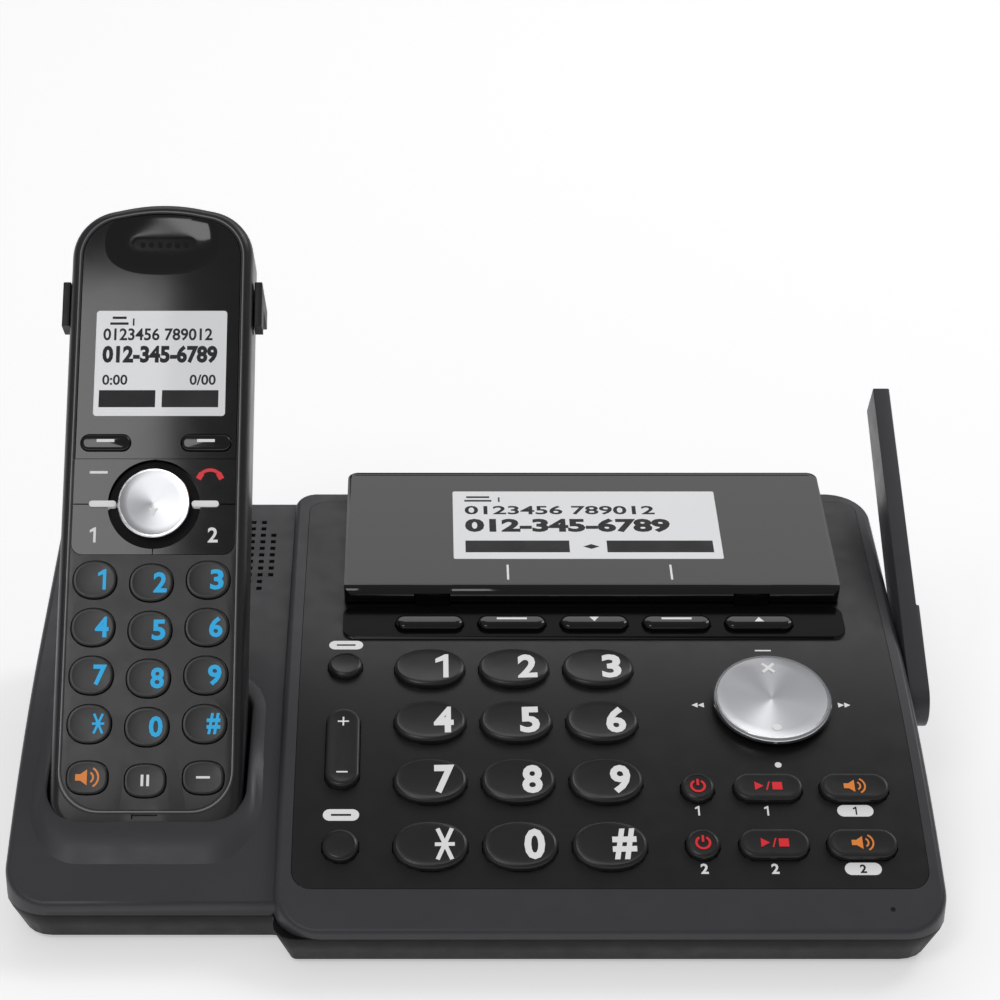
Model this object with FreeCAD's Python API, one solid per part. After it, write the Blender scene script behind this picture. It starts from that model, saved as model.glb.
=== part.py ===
"""Two-line answering system with a cordless handset, as separate pieces.

Millimetres, +Z up, the user in front at -Y. The console deck is one cylinder about the X axis that
runs out into a straight rear slope. Everything is drawn about the middle of the base, and the
finished pieces are then moved so that the origin is on the desk under the middle of the whole
outline, antenna and handset with it.
"""
import FreeCAD, Part
import math
import os
from FreeCAD import Placement, Rotation, Vector

os.makedirs("parts", exist_ok=True)

# Base housing
base_half_width = 120.0
console_left_x = -50.6
console_front_y = -79.6
wing_front_y = -69.6
base_back_y = 81.5
case_floor_z = 1.5
parting_z = 10.8
case_undercut = 4.2
case_wall = 2.2
case_straight = 0.6
case_least_radius = 0.8
case_corner_steps = 5
console_nose_radius = 6.0
shell_wall = 2.2
plan_corner_radius = 12.0
rim_fillet = 2.0
wing_root = 14.0
wing_root_radius = 5.0

# Deck: a cylinder, then a straight slope
deck_radius = 338.2
deck_axis_y = 72.1
deck_axis_z = -289.15
deck_rear_tilt = 9.5
wing_drop = 3.4

# Key panel, set into the console deck
panel_left_x = -46.2
panel_right_x = 116.0
panel_front_y = -68.6
panel_back_y = 76.0
panel_thickness = 2.0
panel_corner_radius = 5.0
panel_ledge = 2.0
panel_clearance = 0.15
strip_height = 0.8
strip_left_x = -35.0
strip_right_x = 105.2
strip_front_y = 13.0
strip_back_y = 26.0

# Keys of the base
key_clearance = 0.35
key_height = 1.8
key_depth = 4.6
key_travel = 1.2
flange_gap = 0.3
flange_thickness = 1.6
flange_margin = 0.5
plunger_width = 4.0
plunger_clearance = key_travel + 0.3
dial_key_width = 19.3
dial_key_length = 14.3
key_pitch_x = 23.0
key_pitch_s = 20.2
first_column_x = -10.8
bottom_row_s = 24.3
left_key_x = -33.9
small_key_diameter = 9.4
hold_key_s = 86.0
volume_s = 55.5
volume_length = 26.5
volume_width = 9.0
soft_key_s = 103.2
soft_key_width = 19.0
soft_key_length = 5.6
answer_key_x = 59.0
mailbox_key_x = 77.3
line_key_x = 99.8
answer_row_s = [42.3, 24.7]
answer_key_diameter = 8.8
wide_key_width = 18.0
wide_key_length = 8.6

# Flat facets round each key outline
oval_steps = 16
small_steps = 12
column_steps = 12
disc_steps = 48
speaker_steps = 28
handset_steps = 12
handset_squareness = 3.0

# Four-way disc
disc_x = 81.3
disc_s = 71.6
disc_diameter = 32.0
disc_thickness = 2.4
disc_lift = 0.95
disc_dish = 0.9
disc_undercut = 5.0
disc_undercut_rise = 0.8
disc_post_diameter = 10.0
disc_post_clearance = 0.6
disc_flange_diameter = 14.0
disc_flange_top = 2.6
rocking_gap = 0.3

# Main board, parallel to the chord of the deck under the keys
board_front_s = 12.0
board_back_s = 107.0
board_thickness = 1.6
board_depth = 6.2
board_side_margin = 1.4
board_notch_clearance = 0.5
board_chips = [(20, 34, 30, 44, 1.4), (60, 70, 50, 60, 1.2), (-30, -8, 56, 74, 2.6)]
post_diameter = 3.6
post_inset_x = 4.2

# Tilting display
display_left_x = -34.9
display_right_x = 105.1
display_length = 56.6
display_thickness = 5.5
display_gap = 0.4
display_hinge_y = 29.6
display_corner_radius = 3.0
display_floor = 1.4
display_cavity_margin = 4.0
window_thickness = 1.3
window_margin = 1.3
window_clearance = 0.1
lcd_left_x = -7.8
lcd_right_x = 78.2
lcd_front = 14.0
lcd_length = 36.0
hinge_lug_width = 9.6
hinge_lug_x = [-10.0, 80.0]
hinge_slot_clearance = 0.3
hinge_pin_diameter = 2.0
hinge_pin_reach = 3.0
hinge_running_fit = 0.06

# Loudspeaker under the wing
speaker_x = -75.3
speaker_y = 55.5
grille_half_width = 20.0
grille_half_length = 18.7
grille_corner = 13.0
grille_pitch = 3.1
grille_hole = 1.5
speaker_diameter = 44.0
speaker_flange = 3.0
speaker_cone_diameter = 39.0
speaker_cone_depth = 9.0
magnet_diameter = 26.0
magnet_depth = 7.0

# Line and power jacks at the back
jack_x = [0.0, 20.0]
jack_width = 11.4
jack_height = 8.2
jack_mouth_depth = 12.0
jack_block_depth = 17.0
jack_block_left_x = -9.0
jack_block_right_x = 48.0
jack_block_height = 13.5
power_jack_x = 37.0
power_jack_diameter = 6.4
power_jack_depth = 11.0
power_pin_diameter = 1.7
jack_setback = 0.6
jack_frame_clearance = 0.3
jack_latch_width = 4.0
jack_latch_depth = 1.2

# Feet and screws
foot_diameter = 11.0
foot_seat_depth = 0.6
foot_positions = [(-36.0, -62.0), (99.5, -62.0), (-92.0, -56.0), (-98.0, 64.0), (99.5, 64.0)]
screw_positions = [(-42.0, -52.0), (108.0, -52.0), (-104.0, 26.0), (-42.0, 70.0), (108.0, 70.0)]
screw_boss_diameter = 7.0
screw_hole_diameter = 2.6
screw_diameter = 2.5
screw_head_diameter = 5.0
screw_head_height = 1.8
screw_length = 12.0
screw_well_diameter = 7.0
screw_well_depth = 5.0

# Antenna on the right side wall
antenna_gap = 0.6
antenna_thickness = 5.6
antenna_width = 14.6
antenna_length = 100.0
antenna_root_length = 26.0
antenna_pivot_y = 2.5
antenna_pivot_z = 30.6
antenna_angle = 31.4
antenna_tip_width = 12.0
antenna_tip_thickness = 4.8
antenna_pin_diameter = 6.0
antenna_pin_fit = 0.06
antenna_head_diameter = 9.0
antenna_head_thickness = 1.6

# Heights along the handset's face, each row stacked on the one below it
function_row_v = 8.9
function_row_gap = 14.2
number_pitch_v = 13.0
number_top_row_v = function_row_v + function_row_gap + 3 * number_pitch_v
nav_above_numbers = 21.1
nav_v = number_top_row_v + nav_above_numbers
soft_keys_above_nav = 17.3
handset_soft_key_v = nav_v + soft_keys_above_nav
lcd_above_soft_keys = 23.0
handset_lcd_v = handset_soft_key_v + lcd_above_soft_keys
earpiece_above_lcd = 35.6
earpiece_v = handset_lcd_v + earpiece_above_lcd
shoulder_above_earpiece = 7.9
handset_shoulder = earpiece_v + shoulder_above_earpiece
crown_rise = 5.6
handset_top = handset_shoulder + crown_rise

# Handset, measured from the lower edge of its front face
handset_x = -85.0
handset_y = -46.9
handset_z = 26.9
handset_angle = 46.5
handset_bottom = -6.0
handset_half_width = 25.2
handset_bottom_radius = 9.0
handset_shoulder_radius = 14.0
handset_crown_radius = 48.0
handset_front_depth = 11.0
handset_depth = 25.0
handset_wall = 2.0
handset_edge_chamfer = 2.4
handset_back_radius = 8.0
tail_start = 14.0
tail_depth = 17.0
door_top = 76.0
door_thickness = 1.6
door_clearance = 0.2
door_bottom = 24.0
door_grip_count = 5
door_grip_width = 18.0
door_grip_pitch = 2.4
back_slope_start = 150.0
back_slope_depth = 18.0

# Handset faceplate and earpiece
faceplate_below_nav = 14.0
faceplate_bottom = nav_v - faceplate_below_nav
faceplate_top_margin = 4.0
faceplate_top = handset_top - faceplate_top_margin
faceplate_half_width = 21.8
faceplate_shoulder_margin = 3.0
faceplate_shoulder = handset_shoulder - faceplate_shoulder_margin
faceplate_thickness = 1.4
faceplate_corner_radius = 3.0
faceplate_shoulder_radius = 11.5
faceplate_clearance = 0.1
earpiece_width = 32.0
earpiece_length = 19.6
earpiece_depth = 0.6
earpiece_hole = 1.2
earpiece_hole_count = 6
earpiece_hole_pitch = 2.3

# Handset keys
handset_key_clearance = 0.25
handset_key_height = 0.9
handset_key_depth = 3.2
handset_key_travel = 1.0
handset_flange_thickness = 0.9
handset_flange_margin = 0.6
number_key_width = 11.2
number_key_length = 10.4
number_pitch_u = 15.1
middle_column_drop = 0.8
function_key_width = 10.9
function_key_length = 9.2
nav_diameter = 19.4
nav_ring_diameter = 25.4
nav_thickness = 1.2
nav_lift = 0.55
nav_dish = 0.4
nav_undercut = 3.7
nav_undercut_rise = 0.5
nav_steps = 36
nav_post_diameter = 7.0
nav_post_clearance = 0.4
nav_flange_diameter = 10.0
corner_key_outer_u = 20.6
corner_key_inner_u = 5.5
corner_key_split = 1.2
corner_key_reach_v = 11.8
handset_soft_key_u = 13.6
handset_soft_key_width = 13.4
handset_soft_key_length = 4.6
handset_board_depth = handset_key_depth + handset_key_travel + 0.8
handset_board_thickness = 1.2
handset_board_margin = 0.8
handset_lcd_half_width = 18.5
handset_lcd_length = 31.5
handset_battery_width = 31.0
handset_battery_length = 44.5
handset_battery_depth = 9.8
handset_battery_v = 50.0
battery_bay_margin = 1.0

# Belt clip on the back of the handset
clip_low_v = 132.0
clip_high_v = 149.0
clip_thickness = 2.2
clip_gap = 0.3
clip_arm_depth = 21.0
clip_tongue_half_width = 9.0
clip_tongue_end_v = 88.0
clip_tongue_gap = 1.6

# Cradle for the handset
cradle_half_width = 28.0
cradle_front_gap = 1.2
cradle_back_gap = 0.3
cradle_floor_gap = 1.6
cradle_wall = 2.0
cradle_lip_height = 1.6
cradle_corner_radius = 6.0
cradle_wall_reach = 60.0
cradle_cut_reach = 75.0
contact_spacing = 16.0
contact_width = 3.0
contact_thickness = 1.2
contact_gap = 0.3
contact_depth = 8.0
contact_slot_gap = 0.3

# Shared values
far = 400.0
axis_x = Vector(1, 0, 0)
axis_z = Vector(0, 0, 1)
rear_tilt = math.radians(deck_rear_tilt)
straight_y = deck_axis_y - deck_radius * math.sin(rear_tilt)
straight_z = deck_axis_z + deck_radius * math.cos(rear_tilt)
front_tilt = math.asin((deck_axis_y - console_front_y) / deck_radius)
arc_length = deck_radius * (front_tilt - rear_tilt)


def deck_point(s, lift=0.0):
    """Point (y, z) and tilt on the console deck, s along it from its front edge."""
    if s < arc_length:
        tilt = front_tilt - s / deck_radius
        y = deck_axis_y - deck_radius * math.sin(tilt)
        z = deck_axis_z + deck_radius * math.cos(tilt)
    else:
        tilt = rear_tilt
        y = straight_y + (s - arc_length) * math.cos(tilt)
        z = straight_z + (s - arc_length) * math.sin(tilt)
    return y - lift * math.sin(tilt), z + lift * math.cos(tilt), tilt


def deck_s_of_y(y):
    """Distance along the deck from its front edge to the point above y."""
    if y < straight_y:
        return deck_radius * (front_tilt - math.asin((deck_axis_y - y) / deck_radius))
    return arc_length + (y - straight_y) / math.cos(rear_tilt)


def deck_place(x, s, lift=0.0):
    """Placement of a piece drawn flat, so that it lies on the deck at x and s."""
    y, z, tilt = deck_point(s, lift)
    return Placement(Vector(x, y, z), Rotation(axis_x, math.degrees(tilt)))


def placed(shape, placement):
    """Copy of a shape moved by a placement."""
    moved = shape.copy()
    moved.Placement = placement.multiply(moved.Placement)
    return moved


def fused(shapes):
    """One solid from touching shapes, with its split faces merged."""
    body = shapes[0]
    for shape in shapes[1:]:
        body = body.fuse(shape)
    return body.removeSplitter()


def box(x0, x1, y0, y1, z0, z1):
    """Box between two corners."""
    return Part.makeBox(x1 - x0, y1 - y0, z1 - z0, Vector(x0, y0, z0))


def disc(x, y, z, diameter, height):
    """Upright cylinder with its lower end at z."""
    return Part.makeCylinder(diameter / 2, height, Vector(x, y, z), axis_z)


def column(x, y, z, diameter, height):
    """Upright round bar or bore of small parts, with a few flat facets round it."""
    bar = ring_prism(diameter, diameter, 2, column_steps, 0, height)
    return placed(bar, Placement(Vector(x, y, z), Rotation()))


def turned(profile, steps):
    """Faceted turned solid about Z from (radius, height) points, the first and last on the axis."""
    rings = []
    for i in range(steps + 1):
        turn = 2 * math.pi * i / steps
        rings.append([Vector(r * math.cos(turn), r * math.sin(turn), z) for r, z in profile])
    faces = []
    for here, ahead in zip(rings[:-1], rings[1:]):
        for k in range(len(profile) - 1):
            corners = [here[k], ahead[k], ahead[k + 1], here[k + 1]]
            if profile[k][0] == 0:
                corners = [here[k], ahead[k + 1], here[k + 1]]
            if profile[k + 1][0] == 0:
                corners = [here[k], ahead[k], here[k + 1]]
            faces.append(Part.Face(Part.makePolygon(corners + corners[:1])))
    return Part.Solid(Part.Shell(faces))


def rounded_face(points, radii):
    """Flat face in XY through the corner points, each corner an arc of its own radius."""
    edges = []
    ends = []
    count = len(points)
    for i in range(count):
        corner = Vector(points[i][0], points[i][1], 0)
        before = Vector(points[i - 1][0], points[i - 1][1], 0) - corner
        after = Vector(points[(i + 1) % count][0], points[(i + 1) % count][1], 0) - corner
        before.normalize()
        after.normalize()
        half = before.getAngle(after) / 2
        reach = radii[i] / math.tan(half)
        start = corner + before * reach
        end = corner + after * reach
        bisector = before + after
        bisector.normalize()
        middle = corner + bisector * (radii[i] / math.sin(half) - radii[i])
        ends.append((start, middle, end))
    for i in range(count):
        start, middle, end = ends[i]
        edges.append(Part.Arc(start, middle, end).toShape())
        next_start = ends[(i + 1) % count][0]
        if (next_start - end).Length > 1e-6:
            edges.append(Part.makeLine(end, next_start))
    return Part.Face(Part.Wire(edges))


def rounded_plate(x0, x1, y0, y1, radius, z0, z1):
    """Plate with four equal rounded corners."""
    corners = [(x0, y0), (x1, y0), (x1, y1), (x0, y1)]
    face = rounded_face(corners, [radius] * 4)
    plate = face.extrude(Vector(0, 0, z1 - z0))
    return placed(plate, Placement(Vector(0, 0, z0), Rotation()))


def ring_prism(width, length, squareness, steps, z0, z1):
    """Prism on a rounded outline: 2 is an ellipse, and more is squarer, with flat facets."""
    points = []
    for i in range(steps):
        turn = 2 * math.pi * (i + 0.5) / steps
        c = math.cos(turn)
        s = math.sin(turn)
        x = math.copysign(abs(c) ** (2 / squareness), c) * width / 2
        y = math.copysign(abs(s) ** (2 / squareness), s) * length / 2
        points.append(Vector(x, y, z0))
    face = Part.Face(Part.makePolygon(points + points[:1]))
    return face.extrude(Vector(0, 0, z1 - z0))


def pill_prism(width, length, steps, z0, z1):
    """Prism with two half-round ends, each of a few flat facets, along its longer side."""
    radius = min(width, length) / 2
    reach = max(width, length) / 2 - radius
    points = []
    for i in range(steps):
        turn = 2 * math.pi * (i + 0.5) / steps
        along = radius * math.cos(turn) + math.copysign(reach, math.cos(turn))
        across = radius * math.sin(turn)
        x, y = (along, across) if width > length else (across, along)
        points.append(Vector(x, y, z0))
    if length > width:
        points.reverse()
    face = Part.Face(Part.makePolygon(points + points[:1]))
    return face.extrude(Vector(0, 0, z1 - z0))


def under_deck(drop, x0=-far, x1=far):
    """Everything below the deck surface lowered by drop, between two sides."""
    radius = deck_radius - drop
    back = far

    def on_arc(y):
        return Vector(x0, y, deck_axis_z + math.sqrt(radius ** 2 - (deck_axis_y - y) ** 2))

    bend_y = deck_axis_y - radius * math.sin(rear_tilt)
    bend_z = deck_axis_z + radius * math.cos(rear_tilt)
    front = on_arc(console_front_y - 30)
    middle = on_arc((console_front_y + bend_y) / 2)
    bend = Vector(x0, bend_y, bend_z)
    rear = Vector(x0, back, bend_z + (back - bend_y) * math.tan(rear_tilt))
    low_rear = Vector(x0, back, -far)
    low_front = Vector(x0, front.y, -far)
    edges = [
        Part.Arc(front, middle, bend).toShape(),
        Part.makeLine(bend, rear),
        Part.makeLine(rear, low_rear),
        Part.makeLine(low_rear, low_front),
        Part.makeLine(low_front, front),
    ]
    return Part.Face(Part.Wire(edges)).extrude(Vector(x1 - x0, 0, 0))


def console_plan(inset, radius):
    """Plan of the console, drawn in by an inset."""
    left = console_left_x + inset
    right = base_half_width - inset
    front = console_front_y + inset
    back = base_back_y - inset
    corners = [(left, front), (right, front), (right, back), (left, back)]
    return rounded_face(corners, [radius, radius, radius, radius / 2])


def wing_plan(inset, radius, right_x):
    """Plan of the cradle wing, running to right_x inside the console."""
    left = -base_half_width + inset
    front = wing_front_y + inset
    back = base_back_y - inset
    corners = [(left, front), (right_x, front), (right_x, back), (left, back)]
    return rounded_face(corners, [radius, wing_root_radius, wing_root_radius, radius])


def upright(face, z0, z1):
    """Prism of a flat face between two heights."""
    return placed(face.extrude(Vector(0, 0, z1 - z0)), Placement(Vector(0, 0, z0), Rotation()))


def rim_rounded(solid):
    """The block with its deck rim rounded."""
    rim = []
    for edge in solid.Edges:
        flat_bottom = edge.BoundBox.ZMax < parting_z + 0.01
        upright_edge = edge.BoundBox.XLength < 0.01 and edge.BoundBox.YLength < 0.01
        bend_edge = edge.BoundBox.YLength < 0.01 and abs(edge.BoundBox.YMin - straight_y) < 5.0
        if not flat_bottom and not upright_edge and not bend_edge:
            rim.append(edge)
    return solid.makeFillet(rim_fillet, rim)


def handset_place():
    """Placement from the handset's own axes (across, along, out of its face)."""
    return Placement(Vector(handset_x, handset_y, handset_z), Rotation(axis_x, handset_angle))


def in_handset(shape):
    """Shape drawn in the handset's own axes, put in its place in the cradle."""
    return placed(shape, handset_place())


def side_profile(points, half_width=60.0):
    """Prism across the handset from points (along, out)."""
    corners = [Vector(-half_width, v, w) for v, w in points]
    face = Part.Face(Part.makePolygon(corners + corners[:1]))
    return face.extrude(Vector(2 * half_width, 0, 0))


def pocket_block(margin, top):
    """Cradle pocket in the handset's axes, grown by a margin on its closed sides."""
    back = handset_depth + cradle_back_gap + margin
    tail_back = tail_depth + cradle_back_gap + margin
    floor = handset_bottom - cradle_floor_gap - margin
    front = cradle_front_gap + margin
    corners = [(floor, front), (top, front), (top, -back), (tail_start, -back), (floor, -tail_back)]
    profile = side_profile(corners)
    half = cradle_half_width + margin
    outline = rounded_plate(-half, half, floor, top + 20, cradle_corner_radius, -back - 1, front + 1)
    return outline.common(profile)


def outer_blocks():
    """Outer forms of console and wing, deck rims rounded."""
    console = upright(console_plan(0, plan_corner_radius), parting_z, 90).common(under_deck(0))
    wing_face = wing_plan(0, plan_corner_radius, console_left_x + wing_root)
    wing = upright(wing_face, parting_z, 90).common(under_deck(wing_drop))
    return rim_rounded(console), rim_rounded(wing)


def inner_space():
    """Hollow of the upper shell."""
    radius = plan_corner_radius - shell_wall
    low = parting_z - 1
    console = upright(console_plan(shell_wall, radius), low, 90).common(under_deck(shell_wall))
    wing_face = wing_plan(shell_wall, radius, console_left_x + shell_wall + wing_root)
    wing = upright(wing_face, low, 90).common(under_deck(wing_drop + shell_wall))
    return console.fuse(wing)


def panel_outline(grow, z0, z1):
    """Plan prism of the key panel, grown all round."""
    return rounded_plate(panel_left_x - grow, panel_right_x + grow, panel_front_y - grow,
                         panel_back_y + grow, panel_corner_radius + grow, z0, z1)


def grille_points():
    """Hole centres of the square grille pattern inside its rounded field."""
    columns = int(grille_half_width / grille_pitch)
    rows = int(grille_half_length / grille_pitch)
    points = []
    for i in range(-columns, columns + 1):
        for j in range(-rows, rows + 1):
            past_x = max(abs(i) * grille_pitch - grille_half_width + grille_corner, 0)
            past_y = max(abs(j) * grille_pitch - grille_half_length + grille_corner, 0)
            if math.hypot(past_x, past_y) <= grille_corner:
                points.append((speaker_x + i * grille_pitch, speaker_y + j * grille_pitch))
    return points


def jack_cut():
    """Window in the back wall for the jack block."""
    gap = jack_frame_clearance
    top = parting_z + jack_block_height + gap
    return box(jack_block_left_x - gap, jack_block_right_x + gap,
               base_back_y - 2 * shell_wall, base_back_y + 5, parting_z - 1, top)


def speaker_place():
    """Placement on the underside of the wing deck, normal to it."""
    s = deck_s_of_y(speaker_y)
    return deck_place(speaker_x, s, -wing_drop - shell_wall)


def upper_shell():
    """Upper case: hollow console and wing, panel recess, cradle pocket, grille, bosses."""
    console, wing = outer_blocks()
    outer = console.fuse(wing)
    shell = outer.cut(inner_space())
    bosses = [column(x, y, parting_z, screw_boss_diameter, 60).common(outer) for x, y in screw_positions]
    pocket_wall = in_handset(pocket_block(cradle_wall, cradle_wall_reach))
    pocket_wall = pocket_wall.common(under_deck(wing_drop - cradle_lip_height))
    above_floor = box(-far, far, -far, far, case_floor_z + case_wall, 90)
    shell = shell.fuse([pocket_wall.common(above_floor)] + bosses)
    shell = shell.cut(in_handset(pocket_block(0.0, cradle_cut_reach)))
    for x, y in screw_positions:
        shell = shell.cut(column(x, y, parting_z - 5, screw_hole_diameter, 5 + screw_length))
    recess = panel_outline(panel_clearance, 0, 90).cut(under_deck(panel_thickness))
    opening = panel_outline(-panel_ledge, 0, 90)
    shell = shell.cut(recess).cut(opening)
    shell = shell.cut(jack_cut())
    pin_hole = Part.makeCylinder(antenna_pin_diameter / 2 + antenna_pin_fit, 20,
                                 Vector(base_half_width - 10, antenna_pivot_y, antenna_pivot_z), axis_x)
    shell = shell.cut(pin_hole)
    for side in (-1, 1):
        shell = shell.cut(contact_slot(side))
    return shell.cut(grille_cut())


def contact_slot(side):
    """Slot in the cradle floor round one charge contact."""
    x = side * contact_spacing / 2
    half = contact_width / 2 + contact_slot_gap
    low = handset_bottom - cradle_floor_gap - 2 * cradle_wall
    w0 = contact_place_w() - contact_thickness
    w1 = contact_place_w() + contact_thickness
    return in_handset(rounded_plate(x - half, x + half, low, handset_bottom, 0.5, w0, w1))


def contact_place_w():
    """Depth of the charge contacts behind the handset's front face."""
    return -tail_depth / 2


def grille_cut():
    """All holes of the loudspeaker grille."""
    half = grille_hole / 2
    holes = [box(x - half, x + half, y - half, y + half, 40, 60) for x, y in grille_points()]
    return Part.makeCompound(holes)


def corner_points(points, radii, steps):
    """Outline through the corner points as flat facets, each corner an arc of its own radius."""
    outline = []
    count = len(points)
    for i in range(count):
        corner = Vector(points[i][0], points[i][1], 0)
        before = Vector(points[i - 1][0], points[i - 1][1], 0) - corner
        after = Vector(points[(i + 1) % count][0], points[(i + 1) % count][1], 0) - corner
        before.normalize()
        after.normalize()
        half = before.getAngle(after) / 2
        reach = radii[i] / math.tan(half)
        bisector = before + after
        bisector.normalize()
        centre = corner + bisector * (radii[i] / math.sin(half))
        first = corner + before * reach - centre
        last = corner + after * reach - centre
        turn = first.getAngle(last)
        for k in range(steps + 1):
            share = k / steps
            arm = first * math.sin((1 - share) * turn) + last * math.sin(share * turn)
            outline.append(centre + arm * (1 / math.sin(turn)))
    return outline


def lower_outline(inset):
    """Outline of the lower case, drawn in: console and wing with the step in front."""
    left = -base_half_width + inset
    right = base_half_width - inset
    step = console_left_x + inset
    wing_front = wing_front_y + inset
    front = console_front_y + inset
    back = base_back_y - inset
    corners = [(left, wing_front), (step, wing_front), (step, front),
               (right, front), (right, back), (left, back)]
    outer = max(plan_corner_radius - inset, case_least_radius)
    nose = max(console_nose_radius - inset, case_least_radius)
    root = case_least_radius + inset
    return corner_points(corners, [outer, root, nose, outer, outer, outer], case_corner_steps)


def tapered(inset, z0):
    """Block of the lower case down to z0, its sides drawn in towards the floor."""
    levels = [(parting_z, inset), (parting_z - case_straight, inset), (z0, inset + case_undercut)]
    rings = []
    for z, drawn_in in levels:
        rings.append([Vector(point.x, point.y, z) for point in lower_outline(drawn_in)])
    faces = [Part.Face(Part.makePolygon(ring + ring[:1])) for ring in (rings[0], rings[-1])]
    for high, low in zip(rings[:-1], rings[1:]):
        for k in range(len(high)):
            corners = [high[k - 1], high[k], low[k], low[k - 1]]
            faces.append(Part.Face(Part.makePolygon(corners + corners[:1])))
    return Part.Solid(Part.Shell(faces))


def lower_case():
    """Open tray with drawn-in sides, screw pillars, foot seats and a jack shelf."""
    tray = tapered(0.0, case_floor_z).cut(tapered(case_wall, case_floor_z + case_wall))
    pillars = [column(x, y, case_floor_z, screw_well_diameter + 2 * case_wall, parting_z - case_floor_z)
               for x, y in screw_positions]
    shelf = box(jack_block_left_x, jack_block_right_x, base_back_y - jack_setback - jack_block_depth,
                base_back_y - case_wall - 1, case_floor_z + 1, parting_z)
    tray = tray.fuse(pillars + [shelf])
    for x, y in screw_positions:
        tray = tray.cut(column(x, y, case_floor_z - 1, screw_well_diameter, 1 + screw_well_depth))
        tray = tray.cut(column(x, y, case_floor_z, screw_diameter + 0.4, parting_z))
    for x, y in foot_positions:
        tray = tray.cut(column(x, y, case_floor_z - 1, foot_diameter, 1 + foot_seat_depth))
    return tray


def case_screws():
    """Five screws from below, each head at the top of its well."""
    head_z = case_floor_z + screw_well_depth - screw_head_height
    screws = []
    for x, y in screw_positions:
        head = column(x, y, head_z, screw_head_diameter, screw_head_height)
        shank = column(x, y, head_z, screw_diameter, screw_length)
        screws.append(head.fuse(shank))
    return Part.makeCompound(screws)


def rubber_feet():
    """Round feet in their seats."""
    return Part.makeCompound([column(x, y, 0, foot_diameter - 0.2, case_floor_z + foot_seat_depth)
                              for x, y in foot_positions])


def hinge_frame():
    """Placement of the display's hinge axis, its own y up the rear slope."""
    s = deck_s_of_y(display_hinge_y)
    return deck_place(0, s, display_gap + display_thickness / 2)


def key_panel(keys):
    """Black panel with key openings, glossy strip, board posts and display hinge lugs."""
    plate = panel_outline(0, 0, 90).common(under_deck(0).cut(under_deck(panel_thickness)))
    strip = rounded_plate(strip_left_x, strip_right_x, strip_front_y, strip_back_y, 3.5, 0, 90)
    strip = strip.common(under_deck(-strip_height).cut(under_deck(0.5)))
    posts = []
    for x in (panel_left_x + post_inset_x, panel_right_x - post_inset_x):
        for y in (board_front() + 8, board_back() - 4):
            posts.append(board_post(x, y))
    lugs = []
    radius = display_thickness / 2 - 0.3
    for x in hinge_lug_x:
        barrel = Part.makeCylinder(radius, hinge_lug_width, Vector(x - hinge_lug_width / 2, 0, 0), axis_x)
        web = box(x - hinge_lug_width / 2, x + hinge_lug_width / 2, -radius, radius, -radius - 1.2, 0)
        reach = hinge_lug_width / 2 + hinge_pin_reach
        pin = Part.makeCylinder(hinge_pin_diameter / 2, 2 * reach, Vector(x - reach, 0, 0), axis_x)
        lugs.append(placed(barrel.fuse(web).fuse(pin), hinge_frame()))
    panel = fused([plate, strip] + posts + lugs)
    for key in keys:
        panel = panel.cut(key.opening())
    hole_width = disc_post_diameter + 2 * disc_post_clearance
    post_hole = ring_prism(hole_width, hole_width, 2, oval_steps, -10, 10)
    return panel.cut(placed(post_hole, deck_place(disc_x, disc_s)))


def board_front():
    """Plan position of the board's front edge."""
    return deck_point(board_front_s)[0]


def board_back():
    """Plan position of the board's back edge."""
    return deck_point(board_back_s)[0]


def board_plane():
    """Placement of the board's top: its front edge at the origin, y up the slope."""
    y0, z0, _ = deck_point(board_front_s, -board_depth)
    y1, z1, _ = deck_point(board_back_s, -board_depth)
    tilt = math.atan2(z1 - z0, y1 - y0)
    return Placement(Vector(0, y0, z0), Rotation(axis_x, math.degrees(tilt))), math.hypot(y1 - y0, z1 - z0)


def board_top_z(y):
    """Height of the board's top surface above y."""
    place, _ = board_plane()
    tilt = place.Rotation.Angle
    return place.Base.z + (y - place.Base.y) * math.tan(tilt)


def board_post(x, y):
    """Post from the panel's underside down to the board."""
    z0 = board_top_z(y)
    post = column(x, y, z0 - 2, post_diameter, 20)
    place, length = board_plane()
    above = placed(box(-far, far, -50, length + 50, 0, 60), place)
    return post.common(above).common(under_deck(panel_thickness / 2))


def main_board():
    """Circuit board under the keys with its larger components."""
    place, length = board_plane()
    left = panel_left_x + board_side_margin
    right = panel_right_x - board_side_margin
    plate = box(left, right, 0, length, -board_thickness, 0)
    chips = [box(x0, x1, y0, y1, -board_thickness - height, -board_thickness)
             for x0, x1, y0, y1, height in board_chips]
    board = placed(fused([plate] + chips), place)
    for x, y in screw_positions:
        board = board.cut(column(x, y, 0, screw_boss_diameter + 2 * board_notch_clearance, 60))
    return board


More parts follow.
